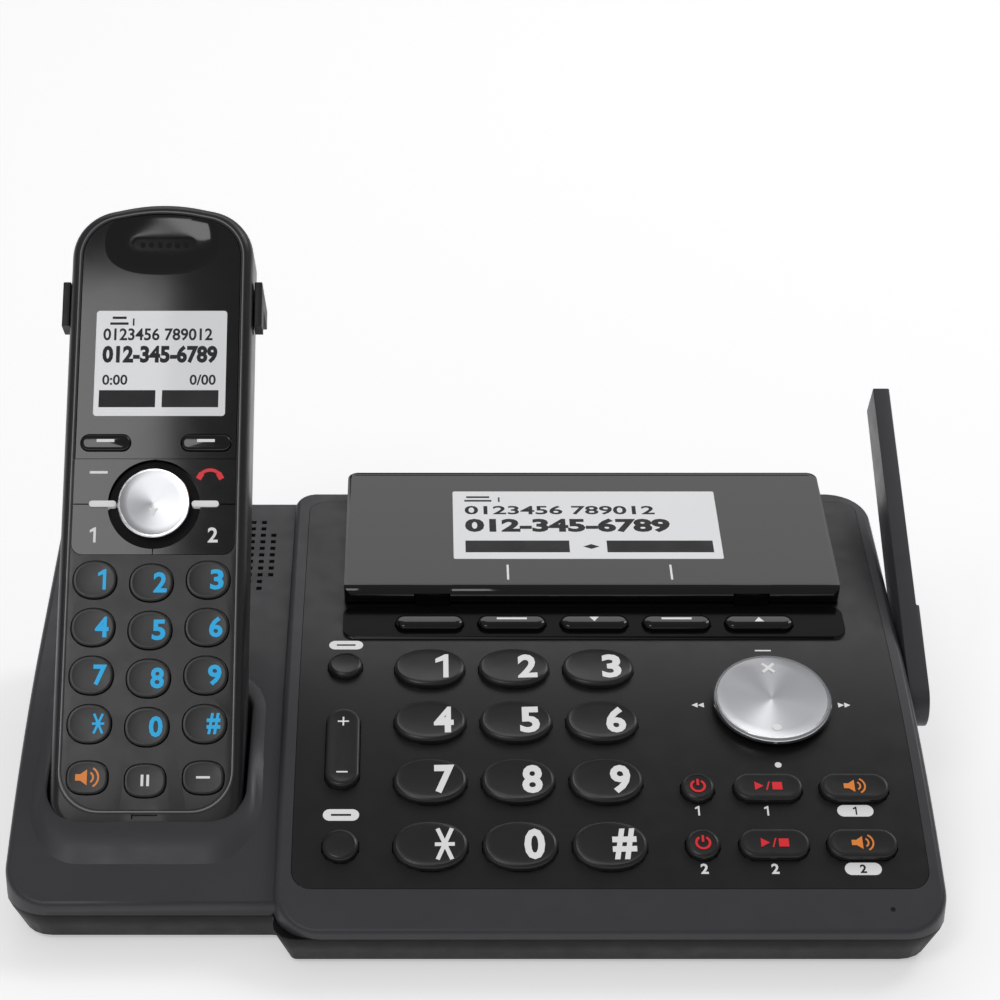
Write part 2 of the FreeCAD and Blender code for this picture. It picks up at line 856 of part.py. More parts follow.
class DeckKey:
    """A sprung key on the console deck: name, outline, place and skirt below the panel."""

    def __init__(self, name, x, s, width, length, kind, lift=0.0):
        self.name = name
        self.x = x
        self.s = s
        self.width = width
        self.length = length
        self.kind = kind
        self.lift = lift

    def prism(self, grow, z0, z1):
        """Outline of the key as a prism in its own axes."""
        width = self.width + 2 * grow
        length = self.length + 2 * grow
        if self.kind == "oval":
            return ring_prism(width, length, 2, oval_steps, z0, z1)
        if self.kind == "round":
            return ring_prism(width, length, 2, small_steps, z0, z1)
        return pill_prism(width, length, small_steps, z0, z1)

    def opening(self):
        """Clearance hole for the key in the panel."""
        return placed(self.prism(key_clearance, -10, 10), deck_place(self.x, self.s))

    def plunger_end(self):
        """Depth below the deck at which the plunger stops short of the board."""
        y, z, tilt = deck_point(self.s)
        drop = (z - board_top_z(y)) * math.cos(tilt)
        return drop - plunger_clearance

    def solid(self):
        """Key cap with its retaining flange and a plunger towards the board."""
        cap = self.prism(0, -key_depth + flange_thickness / 2, key_height + self.lift)
        top = -panel_thickness - flange_gap
        half_w = self.width / 2 + key_clearance + flange_margin
        half_l = self.length / 4
        if self.kind == "upright":
            half_l = self.length / 9
        flange = box(-half_w, half_w, -half_l, half_l, top - flange_thickness, top)
        half = plunger_width / 2
        end = max(self.plunger_end(), key_depth - flange_thickness / 2)
        plunger = box(-half, half, -half / 2, half / 2, -end, top)
        return placed(fused([cap, flange, plunger]), deck_place(self.x, self.s))


def base_keys():
    """Every sprung key of the base except the four-way disc."""
    keys = []
    names = [["key_star", "key_0", "key_pound"], ["key_7", "key_8", "key_9"],
             ["key_4", "key_5", "key_6"], ["key_1", "key_2", "key_3"]]
    for i in range(4):
        s = bottom_row_s + i * key_pitch_s
        for j in range(3):
            x = first_column_x + j * key_pitch_x
            keys.append(DeckKey(names[i][j], x, s, dial_key_width, dial_key_length, "oval"))
    small = small_key_diameter
    keys.append(DeckKey("hold_key", left_key_x, hold_key_s, small, small, "round"))
    keys.append(DeckKey("flash_key", left_key_x, bottom_row_s, small, small, "round"))
    keys.append(DeckKey("volume_rocker", left_key_x, volume_s, volume_width, volume_length, "upright"))
    for i in range(5):
        keys.append(DeckKey("soft_key_%d" % (i + 1), first_column_x + i * key_pitch_x, soft_key_s,
                            soft_key_width, soft_key_length, "wide", strip_height))
    for i in range(2):
        s = answer_row_s[i]
        number = i + 1
        round_key = answer_key_diameter
        keys.append(DeckKey("answer_on_key_%d" % number, answer_key_x, s, round_key, round_key, "round"))
        for name, x in (("mailbox_key_%d", mailbox_key_x), ("line_key_%d", line_key_x)):
            keys.append(DeckKey(name % number, x, s, wide_key_width, wide_key_length, "wide"))
    return keys


def disc_carrier():
    """Inner post of the four-way disc, rocking sideways."""
    wide = disc_flange_diameter
    flange = ring_prism(wide, wide, 2, oval_steps, -key_depth, -disc_flange_top)
    thin = disc_post_diameter
    post = ring_prism(thin, thin, 2, oval_steps, -key_depth, disc_lift - rocking_gap)
    return placed(flange.fuse(post), deck_place(disc_x, disc_s))


def disc_cap():
    """Silver four-way disc with its shallow cone, drawn in below so that it rocks to a corner."""
    radius = disc_diameter / 2
    high = disc_lift + disc_thickness
    profile = [(0, disc_lift), (radius - disc_undercut, disc_lift),
               (radius, disc_lift + disc_undercut_rise), (radius, high - 0.5),
               (radius - 0.6, high), (0, high - disc_dish)]
    return placed(turned(profile, disc_steps), deck_place(disc_x, disc_s))


def display_outline(margin, length, z0, z1):
    """Display outline in the hinge's axes, its front edge one half-thickness before the axis."""
    front = -display_thickness / 2 + margin
    radius = max(display_corner_radius - margin, 0.5)
    back = length - display_thickness / 2 - margin
    return rounded_plate(display_left_x + margin, display_right_x - margin, front, back, radius, z0, z1)


def display_case():
    """Tilting display housing with a round front edge, open on top for module and window."""
    half = display_thickness / 2
    block = display_outline(0, display_length, -half, half)
    nose = Part.makeCylinder(half, display_right_x - display_left_x, Vector(display_left_x, 0, 0), axis_x)
    front = box(display_left_x, display_right_x, -half - 1, 0, -half, half)
    block = block.cut(front.cut(nose))
    seat = display_outline(window_margin, display_length, half - window_thickness, half + 1)
    seat = seat.cut(box(-far, far, -far, half + 0.6, -10, 10))
    block = block.cut(seat)
    cavity = box(lcd_left_x - display_cavity_margin, lcd_right_x + display_cavity_margin, 2 * half,
                 display_length - 2 * half, -half + display_floor, half)
    block = block.cut(cavity)
    gap = hinge_slot_clearance
    bore = hinge_pin_diameter / 2 + hinge_running_fit
    for x in hinge_lug_x:
        half_slot = hinge_lug_width / 2 + gap
        block = block.cut(box(x - half_slot, x + half_slot, -10, half + 0.4, -10, half - 0.01))
        reach = hinge_lug_width / 2 + hinge_pin_reach + 0.4
        block = block.cut(Part.makeCylinder(bore, 2 * reach, Vector(x - reach, 0, 0), axis_x))
    return placed(block, hinge_frame())


def display_window():
    """Glossy black window over the display."""
    half = display_thickness / 2
    plate = display_outline(window_margin + window_clearance, display_length, half - window_thickness, half)
    plate = plate.cut(box(-far, far, -far, half + 0.6 + window_clearance, -10, 10))
    return placed(plate, hinge_frame())


def display_lcd():
    """Liquid crystal module under the window."""
    half = display_thickness / 2
    top = half - window_thickness
    low = -half + display_floor
    plate = box(lcd_left_x, lcd_right_x, lcd_front, lcd_front + lcd_length, low, top)
    return placed(plate, hinge_frame())


def loudspeaker():
    """Flange, cone basket and magnet under the grille, one turned profile."""
    outer = speaker_diameter / 2
    cone = speaker_cone_diameter / 2
    magnet = magnet_diameter / 2
    low = -speaker_flange - speaker_cone_depth
    base = low - magnet_depth
    profile = [(0, base), (magnet, base), (magnet, low), (outer, -speaker_flange),
               (outer, 0), (cone, 0), (cone - 2, -1), (0, low + 2)]
    return placed(turned(profile, speaker_steps), speaker_place())


def jack_block():
    """Moulded block with two line sockets and the power inlet."""
    back = base_back_y - jack_setback
    block = box(jack_block_left_x, jack_block_right_x, back - jack_block_depth, back, parting_z,
                parting_z + jack_block_height)
    mid_z = parting_z + jack_block_height / 2
    for x in jack_x:
        block = block.cut(box(x - jack_width / 2, x + jack_width / 2, back - jack_mouth_depth, back + 1,
                              mid_z - jack_height / 2, mid_z + jack_height / 2))
        latch = box(x - jack_latch_width / 2, x + jack_latch_width / 2, back - jack_mouth_depth, back + 1,
                    mid_z - jack_height / 2 - jack_latch_depth, mid_z)
        block = block.cut(latch)
    inlet = Part.makeCylinder(power_jack_diameter / 2, power_jack_depth,
                              Vector(power_jack_x, back - power_jack_depth, mid_z), Vector(0, 1, 0))
    pin = Part.makeCylinder(power_pin_diameter / 2, power_jack_depth - 2,
                            Vector(power_jack_x, back - power_jack_depth, mid_z), Vector(0, 1, 0))
    return block.cut(inlet).fuse(pin)


def charge_contacts():
    """Two sprung metal tongues standing up through the cradle floor."""
    tongues = []
    low = handset_bottom - contact_gap - contact_depth
    w = contact_place_w()
    for side in (-1, 1):
        x = side * contact_spacing / 2
        tongue = box(x - contact_width / 2, x + contact_width / 2, low, handset_bottom - contact_gap,
                     w - contact_thickness / 2, w + contact_thickness / 2)
        tongues.append(in_handset(tongue))
    return Part.makeCompound(tongues)


def antenna():
    """Flat blade, thicker at its rounded lower end, with its pivot pin and inner head."""
    side_x = base_half_width + antenna_gap
    lower = Part.makeCylinder(antenna_width / 2, antenna_thickness, Vector(0, 0, 0), axis_x)
    half = antenna_width / 2
    tip = antenna_tip_width / 2
    step = antenna_root_length
    corners = [Vector(0, 0, -half), Vector(0, step, -half), Vector(0, antenna_length, -tip),
               Vector(0, antenna_length, tip), Vector(0, step, half), Vector(0, 0, half)]
    blade = Part.Face(Part.makePolygon(corners + corners[:1])).extrude(Vector(antenna_tip_thickness, 0, 0))
    root = box(0, antenna_thickness, 0, step, -half, half)
    inner = shell_wall + antenna_gap + 0.2
    pin = Part.makeCylinder(antenna_pin_diameter / 2, inner, Vector(-inner, 0, 0), axis_x)
    head = Part.makeCylinder(antenna_head_diameter / 2, antenna_head_thickness,
                             Vector(-inner - antenna_head_thickness, 0, 0), axis_x)
    body = fused([lower, root, blade, pin, head])
    place = Placement(Vector(side_x, antenna_pivot_y, antenna_pivot_z), Rotation(axis_x, antenna_angle))
    return placed(body, place)


def handset_outline(inset):
    """Outline of the handset seen from the front, drawn in by an inset."""
    half = handset_half_width - inset
    low = handset_bottom + inset
    shoulder = handset_shoulder - inset
    top = handset_top - inset
    foot = handset_bottom_radius - inset / 2
    corner = handset_shoulder_radius - inset / 2
    return rounded_face(
        [(-half, low), (half, low), (half, shoulder), (0, top), (-half, shoulder)],
        [foot, foot, corner, handset_crown_radius, corner])


def handset_prism(inset, w0, w1):
    """Prism of the handset outline between two depths."""
    return upright(handset_outline(inset), w0, w1)


def faceplate_prism(grow, w0, w1):
    """Faceplate outline as a prism."""
    half = faceplate_half_width + grow
    low = faceplate_bottom - grow
    shoulder = faceplate_shoulder + grow
    corner = faceplate_corner_radius
    bend = faceplate_shoulder_radius
    face = rounded_face(
        [(-half, low), (half, low), (half, shoulder), (0, faceplate_top + grow), (-half, shoulder)],
        [corner, corner, bend, handset_crown_radius, bend])
    return upright(face, w0, w1)


def number_rows():
    """Names and centres of the handset's number rows, top row first."""
    names = ["handset_keys_123", "handset_keys_456", "handset_keys_789", "handset_keys_star_0_pound"]
    rows = []
    for i in range(4):
        v = number_top_row_v - i * number_pitch_v
        centres = [(-number_pitch_u, v), (0, v - middle_column_drop), (number_pitch_u, v)]
        rows.append((names[i], centres))
    return rows


def handset_key_block(centres, width, length, grow, w0, w1):
    """Rounded key prisms at the given centres."""
    blocks = []
    for u, v in centres:
        if width > 2 * length:
            key = pill_prism(width + 2 * grow, length + 2 * grow, handset_steps, w0, w1)
        else:
            key = ring_prism(width + 2 * grow, length + 2 * grow, handset_squareness, handset_steps, w0, w1)
        blocks.append(placed(key, Placement(Vector(u, v, 0), Rotation())))
    return blocks


def with_flanges(caps, centres, width, length):
    """Each cap with the retaining flange behind the handset's front wall."""
    keys = []
    half = width / 2 + handset_key_clearance + handset_flange_margin
    top = -handset_key_depth + handset_flange_thickness
    for cap, (u, v) in zip(caps, centres):
        flange = box(u - half, u + half, v - length / 4, v + length / 4, -handset_key_depth, top)
        keys.append(in_handset(fused([cap, flange])))
    return keys


def key_row(centres, width, length):
    """One moving group of handset keys."""
    caps = handset_key_block(centres, width, length, 0, -handset_key_depth, handset_key_height)
    return Part.makeCompound(with_flanges(caps, centres, width, length))


def function_centres():
    """Centres of the three keys below the number keys."""
    return [(-number_pitch_u, function_row_v), (0, function_row_v - middle_column_drop),
            (number_pitch_u, function_row_v)]


def soft_centres():
    """Centres of the two keys under the handset's screen."""
    return [(-handset_soft_key_u, handset_soft_key_v), (handset_soft_key_u, handset_soft_key_v)]


def corner_key(side, up, grow, w0, w1):
    """One of the four keys round the handset's navigation disc."""
    inner = corner_key_inner_u - grow
    outer = corner_key_outer_u + grow
    u0, u1 = (inner, outer) if side > 0 else (-outer, -inner)
    near = corner_key_split - grow
    reach = corner_key_reach_v + grow
    v0, v1 = (nav_v + near, nav_v + reach) if up > 0 else (nav_v - reach, nav_v - near)
    key = box(u0, u1, v0, v1, w0, w1)
    ring = nav_round(nav_ring_diameter - 2 * grow, w0 - 1, w1 + 1)
    return key.cut(ring)


def nav_round(diameter, w0, w1):
    """Faceted round prism about the middle of the navigation disc."""
    round_prism = ring_prism(diameter, diameter, 2, 24, w0, w1)
    return placed(round_prism, Placement(Vector(0, nav_v, 0), Rotation()))


def corner_keys():
    """Names and sides of the four corner keys."""
    return [("handset_redial_key", -1, 1), ("handset_off_key", 1, 1),
            ("handset_line_1_key", -1, -1), ("handset_line_2_key", 1, -1)]


def handset_openings():
    """All key openings through the handset's front."""
    cuts = []
    gap = handset_key_clearance
    for _, centres in number_rows():
        cuts += handset_key_block(centres, number_key_width, number_key_length, gap, -8, 5)
    cuts += handset_key_block(function_centres(), function_key_width, function_key_length, gap, -8, 5)
    cuts += handset_key_block(soft_centres(), handset_soft_key_width, handset_soft_key_length, gap, -8, 5)
    for _, side, up in corner_keys():
        cuts.append(corner_key(side, up, gap, -8, 5))
    cuts.append(nav_round(nav_post_diameter + 2 * nav_post_clearance, -8, 5))
    return cuts


def handset_front():
    """Front shell of the handset with its faceplate seat and key openings."""
    solid = handset_prism(0, -handset_front_depth, 0)
    rim = [edge for edge in solid.Edges if edge.BoundBox.ZMin > -0.01]
    solid = solid.makeChamfer(handset_edge_chamfer, rim)
    solid = solid.cut(handset_prism(handset_wall, -handset_front_depth, -handset_wall))
    solid = solid.cut(faceplate_prism(faceplate_clearance, -faceplate_thickness, 5))
    half = handset_lcd_half_width + 0.5
    reach = handset_lcd_length / 2 + 0.5
    screen = rounded_plate(-half, half, handset_lcd_v - reach, handset_lcd_v + reach, 1.0, -8, 5)
    for cut in handset_openings() + [screen] + earpiece_holes():
        solid = solid.cut(cut)
    return in_handset(solid)


def earpiece_holes():
    """Row of sound holes in the earpiece."""
    first = -(earpiece_hole_count - 1) / 2 * earpiece_hole_pitch
    hole = ring_prism(earpiece_hole, earpiece_hole, 2, 6, -8, 5)
    return [placed(hole, Placement(Vector(first + i * earpiece_hole_pitch, earpiece_v - 1, 0), Rotation()))
            for i in range(earpiece_hole_count)]


def handset_faceplate():
    """Glossy faceplate with the shallow earpiece dish."""
    plate = faceplate_prism(0, -faceplate_thickness, 0)
    dish = ring_prism(earpiece_width, earpiece_length, 2.4, 28, -earpiece_depth, 1)
    plate = plate.cut(placed(dish, Placement(Vector(0, earpiece_v, 0), Rotation())))
    for cut in handset_openings() + earpiece_holes():
        plate = plate.cut(cut)
    return in_handset(plate)


def back_section(inset):
    """Rounded back section of the handset, drawn across and carried along it."""
    half = handset_half_width - inset
    deep = handset_depth - inset
    radius = handset_back_radius - inset
    side = Vector(-half, 0, 0)
    low = Vector(-half, 0, -deep + radius)
    turn = radius * (1 - math.sqrt(0.5))
    mid = Vector(-half + turn, 0, -deep + turn)
    flat = Vector(-half + radius, 0, -deep)
    flat_2 = Vector(half - radius, 0, -deep)
    mid_2 = Vector(half - turn, 0, -deep + turn)
    low_2 = Vector(half, 0, -deep + radius)
    side_2 = Vector(half, 0, 0)
    edges = [
        Part.makeLine(side, low),
        Part.Arc(low, mid, flat).toShape(),
        Part.makeLine(flat, flat_2),
        Part.Arc(flat_2, mid_2, low_2).toShape(),
        Part.makeLine(low_2, side_2),
        Part.makeLine(side_2, side),
    ]
    face = Part.Face(Part.Wire(edges))
    return placed(face.extrude(Vector(0, 300, 0)), Placement(Vector(0, -50, 0), Rotation()))


def back_profile(inset):
    """Side profile of the back shell: sloped tail, door rebate, sloped head."""
    rebate = handset_depth - door_thickness - inset
    deep = handset_depth - inset
    low = handset_bottom + inset
    high = handset_top + 5
    return side_profile([
        (low, -handset_front_depth), (low, -tail_depth + inset), (tail_start, -rebate),
        (door_top - inset, -rebate), (door_top, -deep), (back_slope_start, -deep),
        (high, -back_slope_depth + inset), (high, -handset_front_depth)])


def handset_back():
    """Back shell of the handset with the battery bay."""
    outer = handset_prism(0, -handset_depth - 1, -handset_front_depth).common(back_profile(0))
    outer = outer.common(back_section(0))
    inner = handset_prism(handset_wall, -handset_depth, -handset_front_depth)
    inner = inner.common(back_profile(handset_wall)).common(back_section(handset_wall))
    half = handset_battery_width / 2 + battery_bay_margin
    reach = handset_battery_length / 2 + battery_bay_margin
    bay = rounded_plate(-half, half, handset_battery_v - reach, handset_battery_v + reach, 2.0,
                        -handset_depth - 1, -handset_front_depth)
    return in_handset(outer.cut(inner).cut(bay))


def battery_door():
    """Sliding cover over the battery bay, its outer face flush with the back."""
    plate = box(-handset_half_width, handset_half_width, door_bottom, door_top - door_clearance,
                -handset_depth, -handset_depth + door_thickness)
    plate = plate.common(back_section(0))
    half = door_grip_width / 2
    for i in range(door_grip_count):
        v = door_bottom + (2 + i) * door_grip_pitch
        groove = box(-half, half, v, v + door_grip_pitch / 2, -handset_depth - 1, -handset_depth + 0.5)
        plate = plate.cut(groove)
    return in_handset(plate)


def battery_pack():
    """Wrapped rechargeable pack in the bay."""
    w0 = -handset_depth + door_thickness + 0.2
    half = handset_battery_width / 2
    pack = rounded_plate(-half, half, w0, w0 + handset_battery_depth,
                         handset_battery_depth / 2 - 0.01, 0, handset_battery_length)
    upright_pack = placed(pack, Placement(Vector(0, 0, 0), Rotation(axis_x, 90)))
    bounds = upright_pack.BoundBox
    shift = Vector(0, handset_battery_v - (bounds.YMin + bounds.YMax) / 2, w0 - bounds.ZMin)
    return in_handset(placed(upright_pack, Placement(shift, Rotation())))


def handset_board():
    """Handset circuit board with its screen module and earpiece capsule."""
    inset = handset_wall + handset_board_margin
    top = -handset_board_depth
    plate = handset_prism(inset, top - handset_board_thickness, top)
    half = handset_lcd_half_width
    low_v = handset_lcd_v - handset_lcd_length / 2
    screen = box(-half, half, low_v, low_v + handset_lcd_length, top, -faceplate_thickness - 0.3)
    capsule = disc(0, earpiece_v - 1, top, 14, handset_board_depth - handset_wall - 0.3)
    return in_handset(fused([plate, screen, capsule]))


def nav_carrier():
    """Inner post of the handset's navigation disc."""
    height = handset_key_depth + nav_lift - rocking_gap
    post = nav_round(nav_post_diameter, -handset_key_depth, height - handset_key_depth)
    low = -handset_key_depth
    flange = nav_round(nav_flange_diameter, low, low + handset_flange_thickness)
    return in_handset(post.fuse(flange))


def nav_cap():
    """Silver navigation disc of the handset, drawn in below so that it rocks to a corner."""
    radius = nav_diameter / 2
    high = nav_lift + nav_thickness
    profile = [(0, nav_lift), (radius - nav_undercut, nav_lift), (radius, nav_lift + nav_undercut_rise),
               (radius, high - 0.4), (radius - 0.5, high), (0, high - nav_dish)]
    cap = turned(profile, nav_steps)
    return in_handset(placed(cap, Placement(Vector(0, nav_v, 0), Rotation())))


def belt_clip():
    """Clip with two side arms and a sprung tongue down the back."""
    back = -handset_depth - clip_gap
    half = handset_half_width + clip_gap
    outer = half + clip_thickness
    plate = box(-outer, outer, clip_low_v, clip_high_v, back - clip_thickness, back)
    arms = [box(-outer, -half, clip_low_v, clip_high_v, back, back + clip_arm_depth),
            box(half, outer, clip_low_v, clip_high_v, back, back + clip_arm_depth)]
    tongue_back = back - clip_thickness - clip_tongue_gap
    bend = box(-clip_tongue_half_width, clip_tongue_half_width, clip_high_v - 3, clip_high_v,
               tongue_back - clip_thickness, back)
    wide = clip_tongue_half_width
    tongue = rounded_plate(-wide, wide, clip_tongue_end_v, clip_high_v, 1.5,
                           tongue_back - clip_thickness, tongue_back)
    return in_handset(fused([plate, bend, tongue] + arms))


def build():
    """Every piece of the object by its node name."""
    keys = base_keys()
    pieces = {
        "lower_case": lower_case(),
        "upper_shell": upper_shell().cut(grille_cut()),
        "key_panel": key_panel(keys),
        "main_board": main_board(),
        "jack_block": jack_block(),
        "loudspeaker": loudspeaker(),
        "charge_contacts": charge_contacts(),
        "rubber_feet": rubber_feet(),
        "case_screws": case_screws(),
        "display_case": display_case(),
        "display_window": display_window(),
        "display_lcd": display_lcd(),
        "antenna": antenna(),
        "disc_carrier": disc_carrier(),
        "disc_cap": disc_cap(),
        "handset_front": handset_front(),
        "handset_back": handset_back(),
        "handset_faceplate": handset_faceplate(),
        "handset_board": handset_board(),
        "battery_pack": battery_pack(),
        "battery_door": battery_door(),
        "belt_clip": belt_clip(),
        "nav_carrier": nav_carrier(),
        "nav_cap": nav_cap(),
    }
    for key in keys:
        pieces[key.name] = key.solid()
    for name, centres in number_rows():
        pieces[name] = key_row(centres, number_key_width, number_key_length)
    pieces["handset_function_keys"] = key_row(function_centres(), function_key_width, function_key_length)
    pieces["handset_soft_keys"] = key_row(soft_centres(), handset_soft_key_width, handset_soft_key_length)
    for name, side, up in corner_keys():
        pieces[name] = in_handset(corner_key(side, up, 0, -handset_key_depth, handset_key_height))
    return pieces


def outline_middle():
    """Point on the desk under the middle of the whole outline, out to the antenna's end."""
    turn = math.radians(antenna_angle)
    right = base_half_width + antenna_gap + antenna_thickness
    back = antenna_pivot_y + antenna_length * math.cos(turn) + antenna_tip_width / 2 * math.sin(turn)
    return Vector((right - base_half_width) / 2, (console_front_y + back) / 2, 0)


to_origin = Placement(outline_middle() * -1, Rotation())
for name, drawn in build().items():
    shape = placed(drawn, to_origin)
    shape.exportStep("parts/%s.step" % name)
    print("%-28s solids %2d  valid %s" % (name, len(shape.Solids), shape.isValid()))
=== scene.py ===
"""Two-line answering machine with a cordless handset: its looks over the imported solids.

Lengths are millimetres until a piece is made. A point is given in the drawing's axes (the middle of
the base at the origin), or in the axes of what it lies on: the deck, the display or the handset.
"""
import math

import bmesh
import bpy
import numpy as np
from bpy.props import FloatProperty, FloatVectorProperty, PointerProperty
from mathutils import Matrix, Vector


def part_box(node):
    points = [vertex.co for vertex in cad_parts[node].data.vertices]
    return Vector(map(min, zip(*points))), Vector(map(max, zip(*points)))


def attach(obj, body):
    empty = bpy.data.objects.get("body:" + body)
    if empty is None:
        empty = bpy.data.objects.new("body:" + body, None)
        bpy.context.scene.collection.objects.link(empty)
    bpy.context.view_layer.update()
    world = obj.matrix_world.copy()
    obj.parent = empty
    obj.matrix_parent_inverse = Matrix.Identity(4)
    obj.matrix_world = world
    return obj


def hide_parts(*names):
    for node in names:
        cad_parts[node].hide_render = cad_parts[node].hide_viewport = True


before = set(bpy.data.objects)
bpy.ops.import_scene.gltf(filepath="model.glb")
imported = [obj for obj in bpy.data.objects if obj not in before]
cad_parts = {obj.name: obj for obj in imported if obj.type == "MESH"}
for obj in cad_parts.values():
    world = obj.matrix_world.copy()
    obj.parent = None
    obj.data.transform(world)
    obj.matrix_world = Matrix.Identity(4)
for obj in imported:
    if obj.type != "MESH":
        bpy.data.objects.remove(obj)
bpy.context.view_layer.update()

bl_info = {
    "name": "Answering machine",
    "version": (1, 0, 0),
    "blender": (4, 5, 0),
    "location": "View3D > Sidebar > Machine",
    "description": "Builds the looks of a two-line answering machine over its packed solids",
    "category": "Add Mesh",
}

MM = 0.001
TAU = 2 * math.pi

# The drawing's origin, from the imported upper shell: the middle across, and the console's front edge
CONSOLE_FRONT_Y = -79.6
SHELL_LOW, SHELL_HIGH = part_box("upper_shell")
DRAWING_SHIFT = np.array([(SHELL_LOW.x + SHELL_HIGH.x) / 2 / MM, SHELL_LOW.y / MM - CONSOLE_FRONT_Y, 0.0])

# Deck of the console: a cylinder about X, then a straight slope
DECK_RADIUS = 338.2
DECK_AXIS_Y = 72.1
DECK_AXIS_Z = -289.15
REAR_TILT = math.radians(9.5)
FRONT_TILT = math.asin((DECK_AXIS_Y - CONSOLE_FRONT_Y) / DECK_RADIUS)
ARC_LENGTH = DECK_RADIUS * (FRONT_TILT - REAR_TILT)
STRAIGHT_Y = DECK_AXIS_Y - DECK_RADIUS * math.sin(REAR_TILT)
STRAIGHT_Z = DECK_AXIS_Z + DECK_RADIUS * math.cos(REAR_TILT)
STRIP_LIFT = 0.8
WING_DROP = 3.4

# Keys of the base, in deck axes
KEY_HEIGHT = 1.8
KEY_FOOT = -2.6
DIAL_KEY = (19.3, 14.3)
FIGURE_X = 3.7
FIRST_COLUMN_X = -10.8
KEY_PITCH_X = 23.0
BOTTOM_ROW_S = 24.3
KEY_PITCH_S = 20.2
LEFT_KEY_X = -33.9
HOLD_S = 86.0
VOLUME_S = 55.5
SOFT_KEY_S = 103.2
ROUND_KEY_X = 59.0
MAILBOX_X = 77.3
LINE_X = 99.8
MESSAGE_ROWS_S = (42.3, 24.7)
DISC_X = 81.3
DISC_S = 71.6
DISC_DIAMETER = 32.0
DISC_LIFT = 0.95
DISC_THICKNESS = 2.4

# Display, in axes at its hinge
DISPLAY_HINGE_Y = 29.6
DISPLAY_HALF = 2.75
DISPLAY_GAP = 0.4
DISPLAY_LEFT = -34.9
DISPLAY_RIGHT = 105.1
DISPLAY_LENGTH = 56.6
LUG_X = (-10.0, 80.0)

# Handset, in axes on its front face
HANDSET_ORIGIN = (-85.0, -46.9, 26.9)
HANDSET_TILT = math.radians(46.5)
HANDSET_HALF = 25.2
HANDSET_LOW = -6.0
HANDSET_SHOULDER = 167.0
HANDSET_TOP = 172.4
FACEPLATE_LOW = 69.2
FACEPLATE_HALF = 21.8
NAV_ZONE_TOP = 95.9
NAV_V = 83.2
NAV_DIAMETER = 19.4
NAV_LIFT = 0.55
NAV_THICKNESS = 1.2
NUMBER_TOP_V = 62.1
NUMBER_PITCH = (15.1, 13.0)
MIDDLE_DROP = 0.8
FUNCTION_V = 8.9

# Keys, openings and face of the handset
HANDSET_KEY_TOP = 0.9
HANDSET_KEY_FOOT = -2.0
HANDSET_SIGN = 0.78
SOFT_KEY_U = 13.6
SOFT_KEY_V = 100.5
EAR_V = 159.1
CROWN_RADIUS = 48.0
FACE_LIFT = 0.06
WELL_DEPTHS = (-3.6, 2.0)
NAV_RING = 12.5

# Lip round the handset's foot, and its rings: how far out, share of the lip, own height, lean
CRADLE_CORNERS = [(-110.9, -51.7), (-59.1, -51.7), (-59.1, -2.3), (-110.9, -2.3)]
CRADLE_RADII = [9.7, 9.7, 8.7, 8.7]
CRADLE_SIDE_SHARE = 0.6
CRADLE_RINGS = [(0.0, 0.0, -5.0, 1.0), (0.15, 1.0, -0.8, 1.0), (0.6, 1.0, -0.15, 1.0), (1.2, 1.0, 0.0, 1.0),
                (2.0, 1.0, -0.05, 0.9), (3.2, 0.8, 0.0, 0.6), (4.6, 0.45, 0.0, 0.3), (6.2, 0.12, 0.0, 0.1),
                (7.5, 0.0, -0.15, 0.0)]

# Thicknesses of printed figures, of those on keys and of those on a screen
PRINT = 0.06
SIGN = 0.05
FILM = 0.03

# Lamps: place, point they face, width, length, watts
LAMPS = {"key_lamp": ((-0.55, -0.89, 1.40), (-0.55, 0.03, 0.10), 0.6, 0.66, 4.6),
         "back_lamp": ((0.08, 1.15, 1.20), (0.05, 0.0, 0.04), 1.6, 0.5, 3.6),
         "right_lamp": ((1.20, 0.85, 1.35), (0.05, 0.0, 0.04), 0.6, 0.9, 6.0)}
FLOOR_GLOW = 0.45

MATERIALS = {}


def deck_point(s, lift=0.0):
    """Point (y, z) and tilt on the deck: radius times sine and cosine of the tilt, which falls by
    s / radius up to the rear slope, and a straight run after it."""
    tilt = np.maximum(FRONT_TILT - np.asarray(s, float) / DECK_RADIUS, REAR_TILT)
    run = np.maximum(np.asarray(s, float) - ARC_LENGTH, 0.0)
    y = DECK_AXIS_Y - (DECK_RADIUS + lift) * np.sin(tilt) + run * math.cos(REAR_TILT)
    z = DECK_AXIS_Z + (DECK_RADIUS + lift) * np.cos(tilt) + run * math.sin(REAR_TILT)
    return y, z, tilt


def rigid(origin, tilt):
    """Turn about X by the tilt and move to the origin: y cos - z sin, y sin + z cos."""
    def place(points):
        y = points[:, 1] * math.cos(tilt) - points[:, 2] * math.sin(tilt)
        z = points[:, 1] * math.sin(tilt) + points[:, 2] * math.cos(tilt)
        return np.c_[points[:, 0], y, z] + np.array(origin)
    return place


def on_deck(x, s, lift=0.0):
    """Axes lying on the deck at x and s."""
    y, z, tilt = deck_point(s, lift)
    return rigid((x, float(y), float(z)), float(tilt))


HINGE_S = ARC_LENGTH + (DISPLAY_HINGE_Y - STRAIGHT_Y) / math.cos(REAR_TILT)
on_display = on_deck(0.0, HINGE_S, DISPLAY_GAP + DISPLAY_HALF)
on_handset = rigid(HANDSET_ORIGIN, HANDSET_TILT)


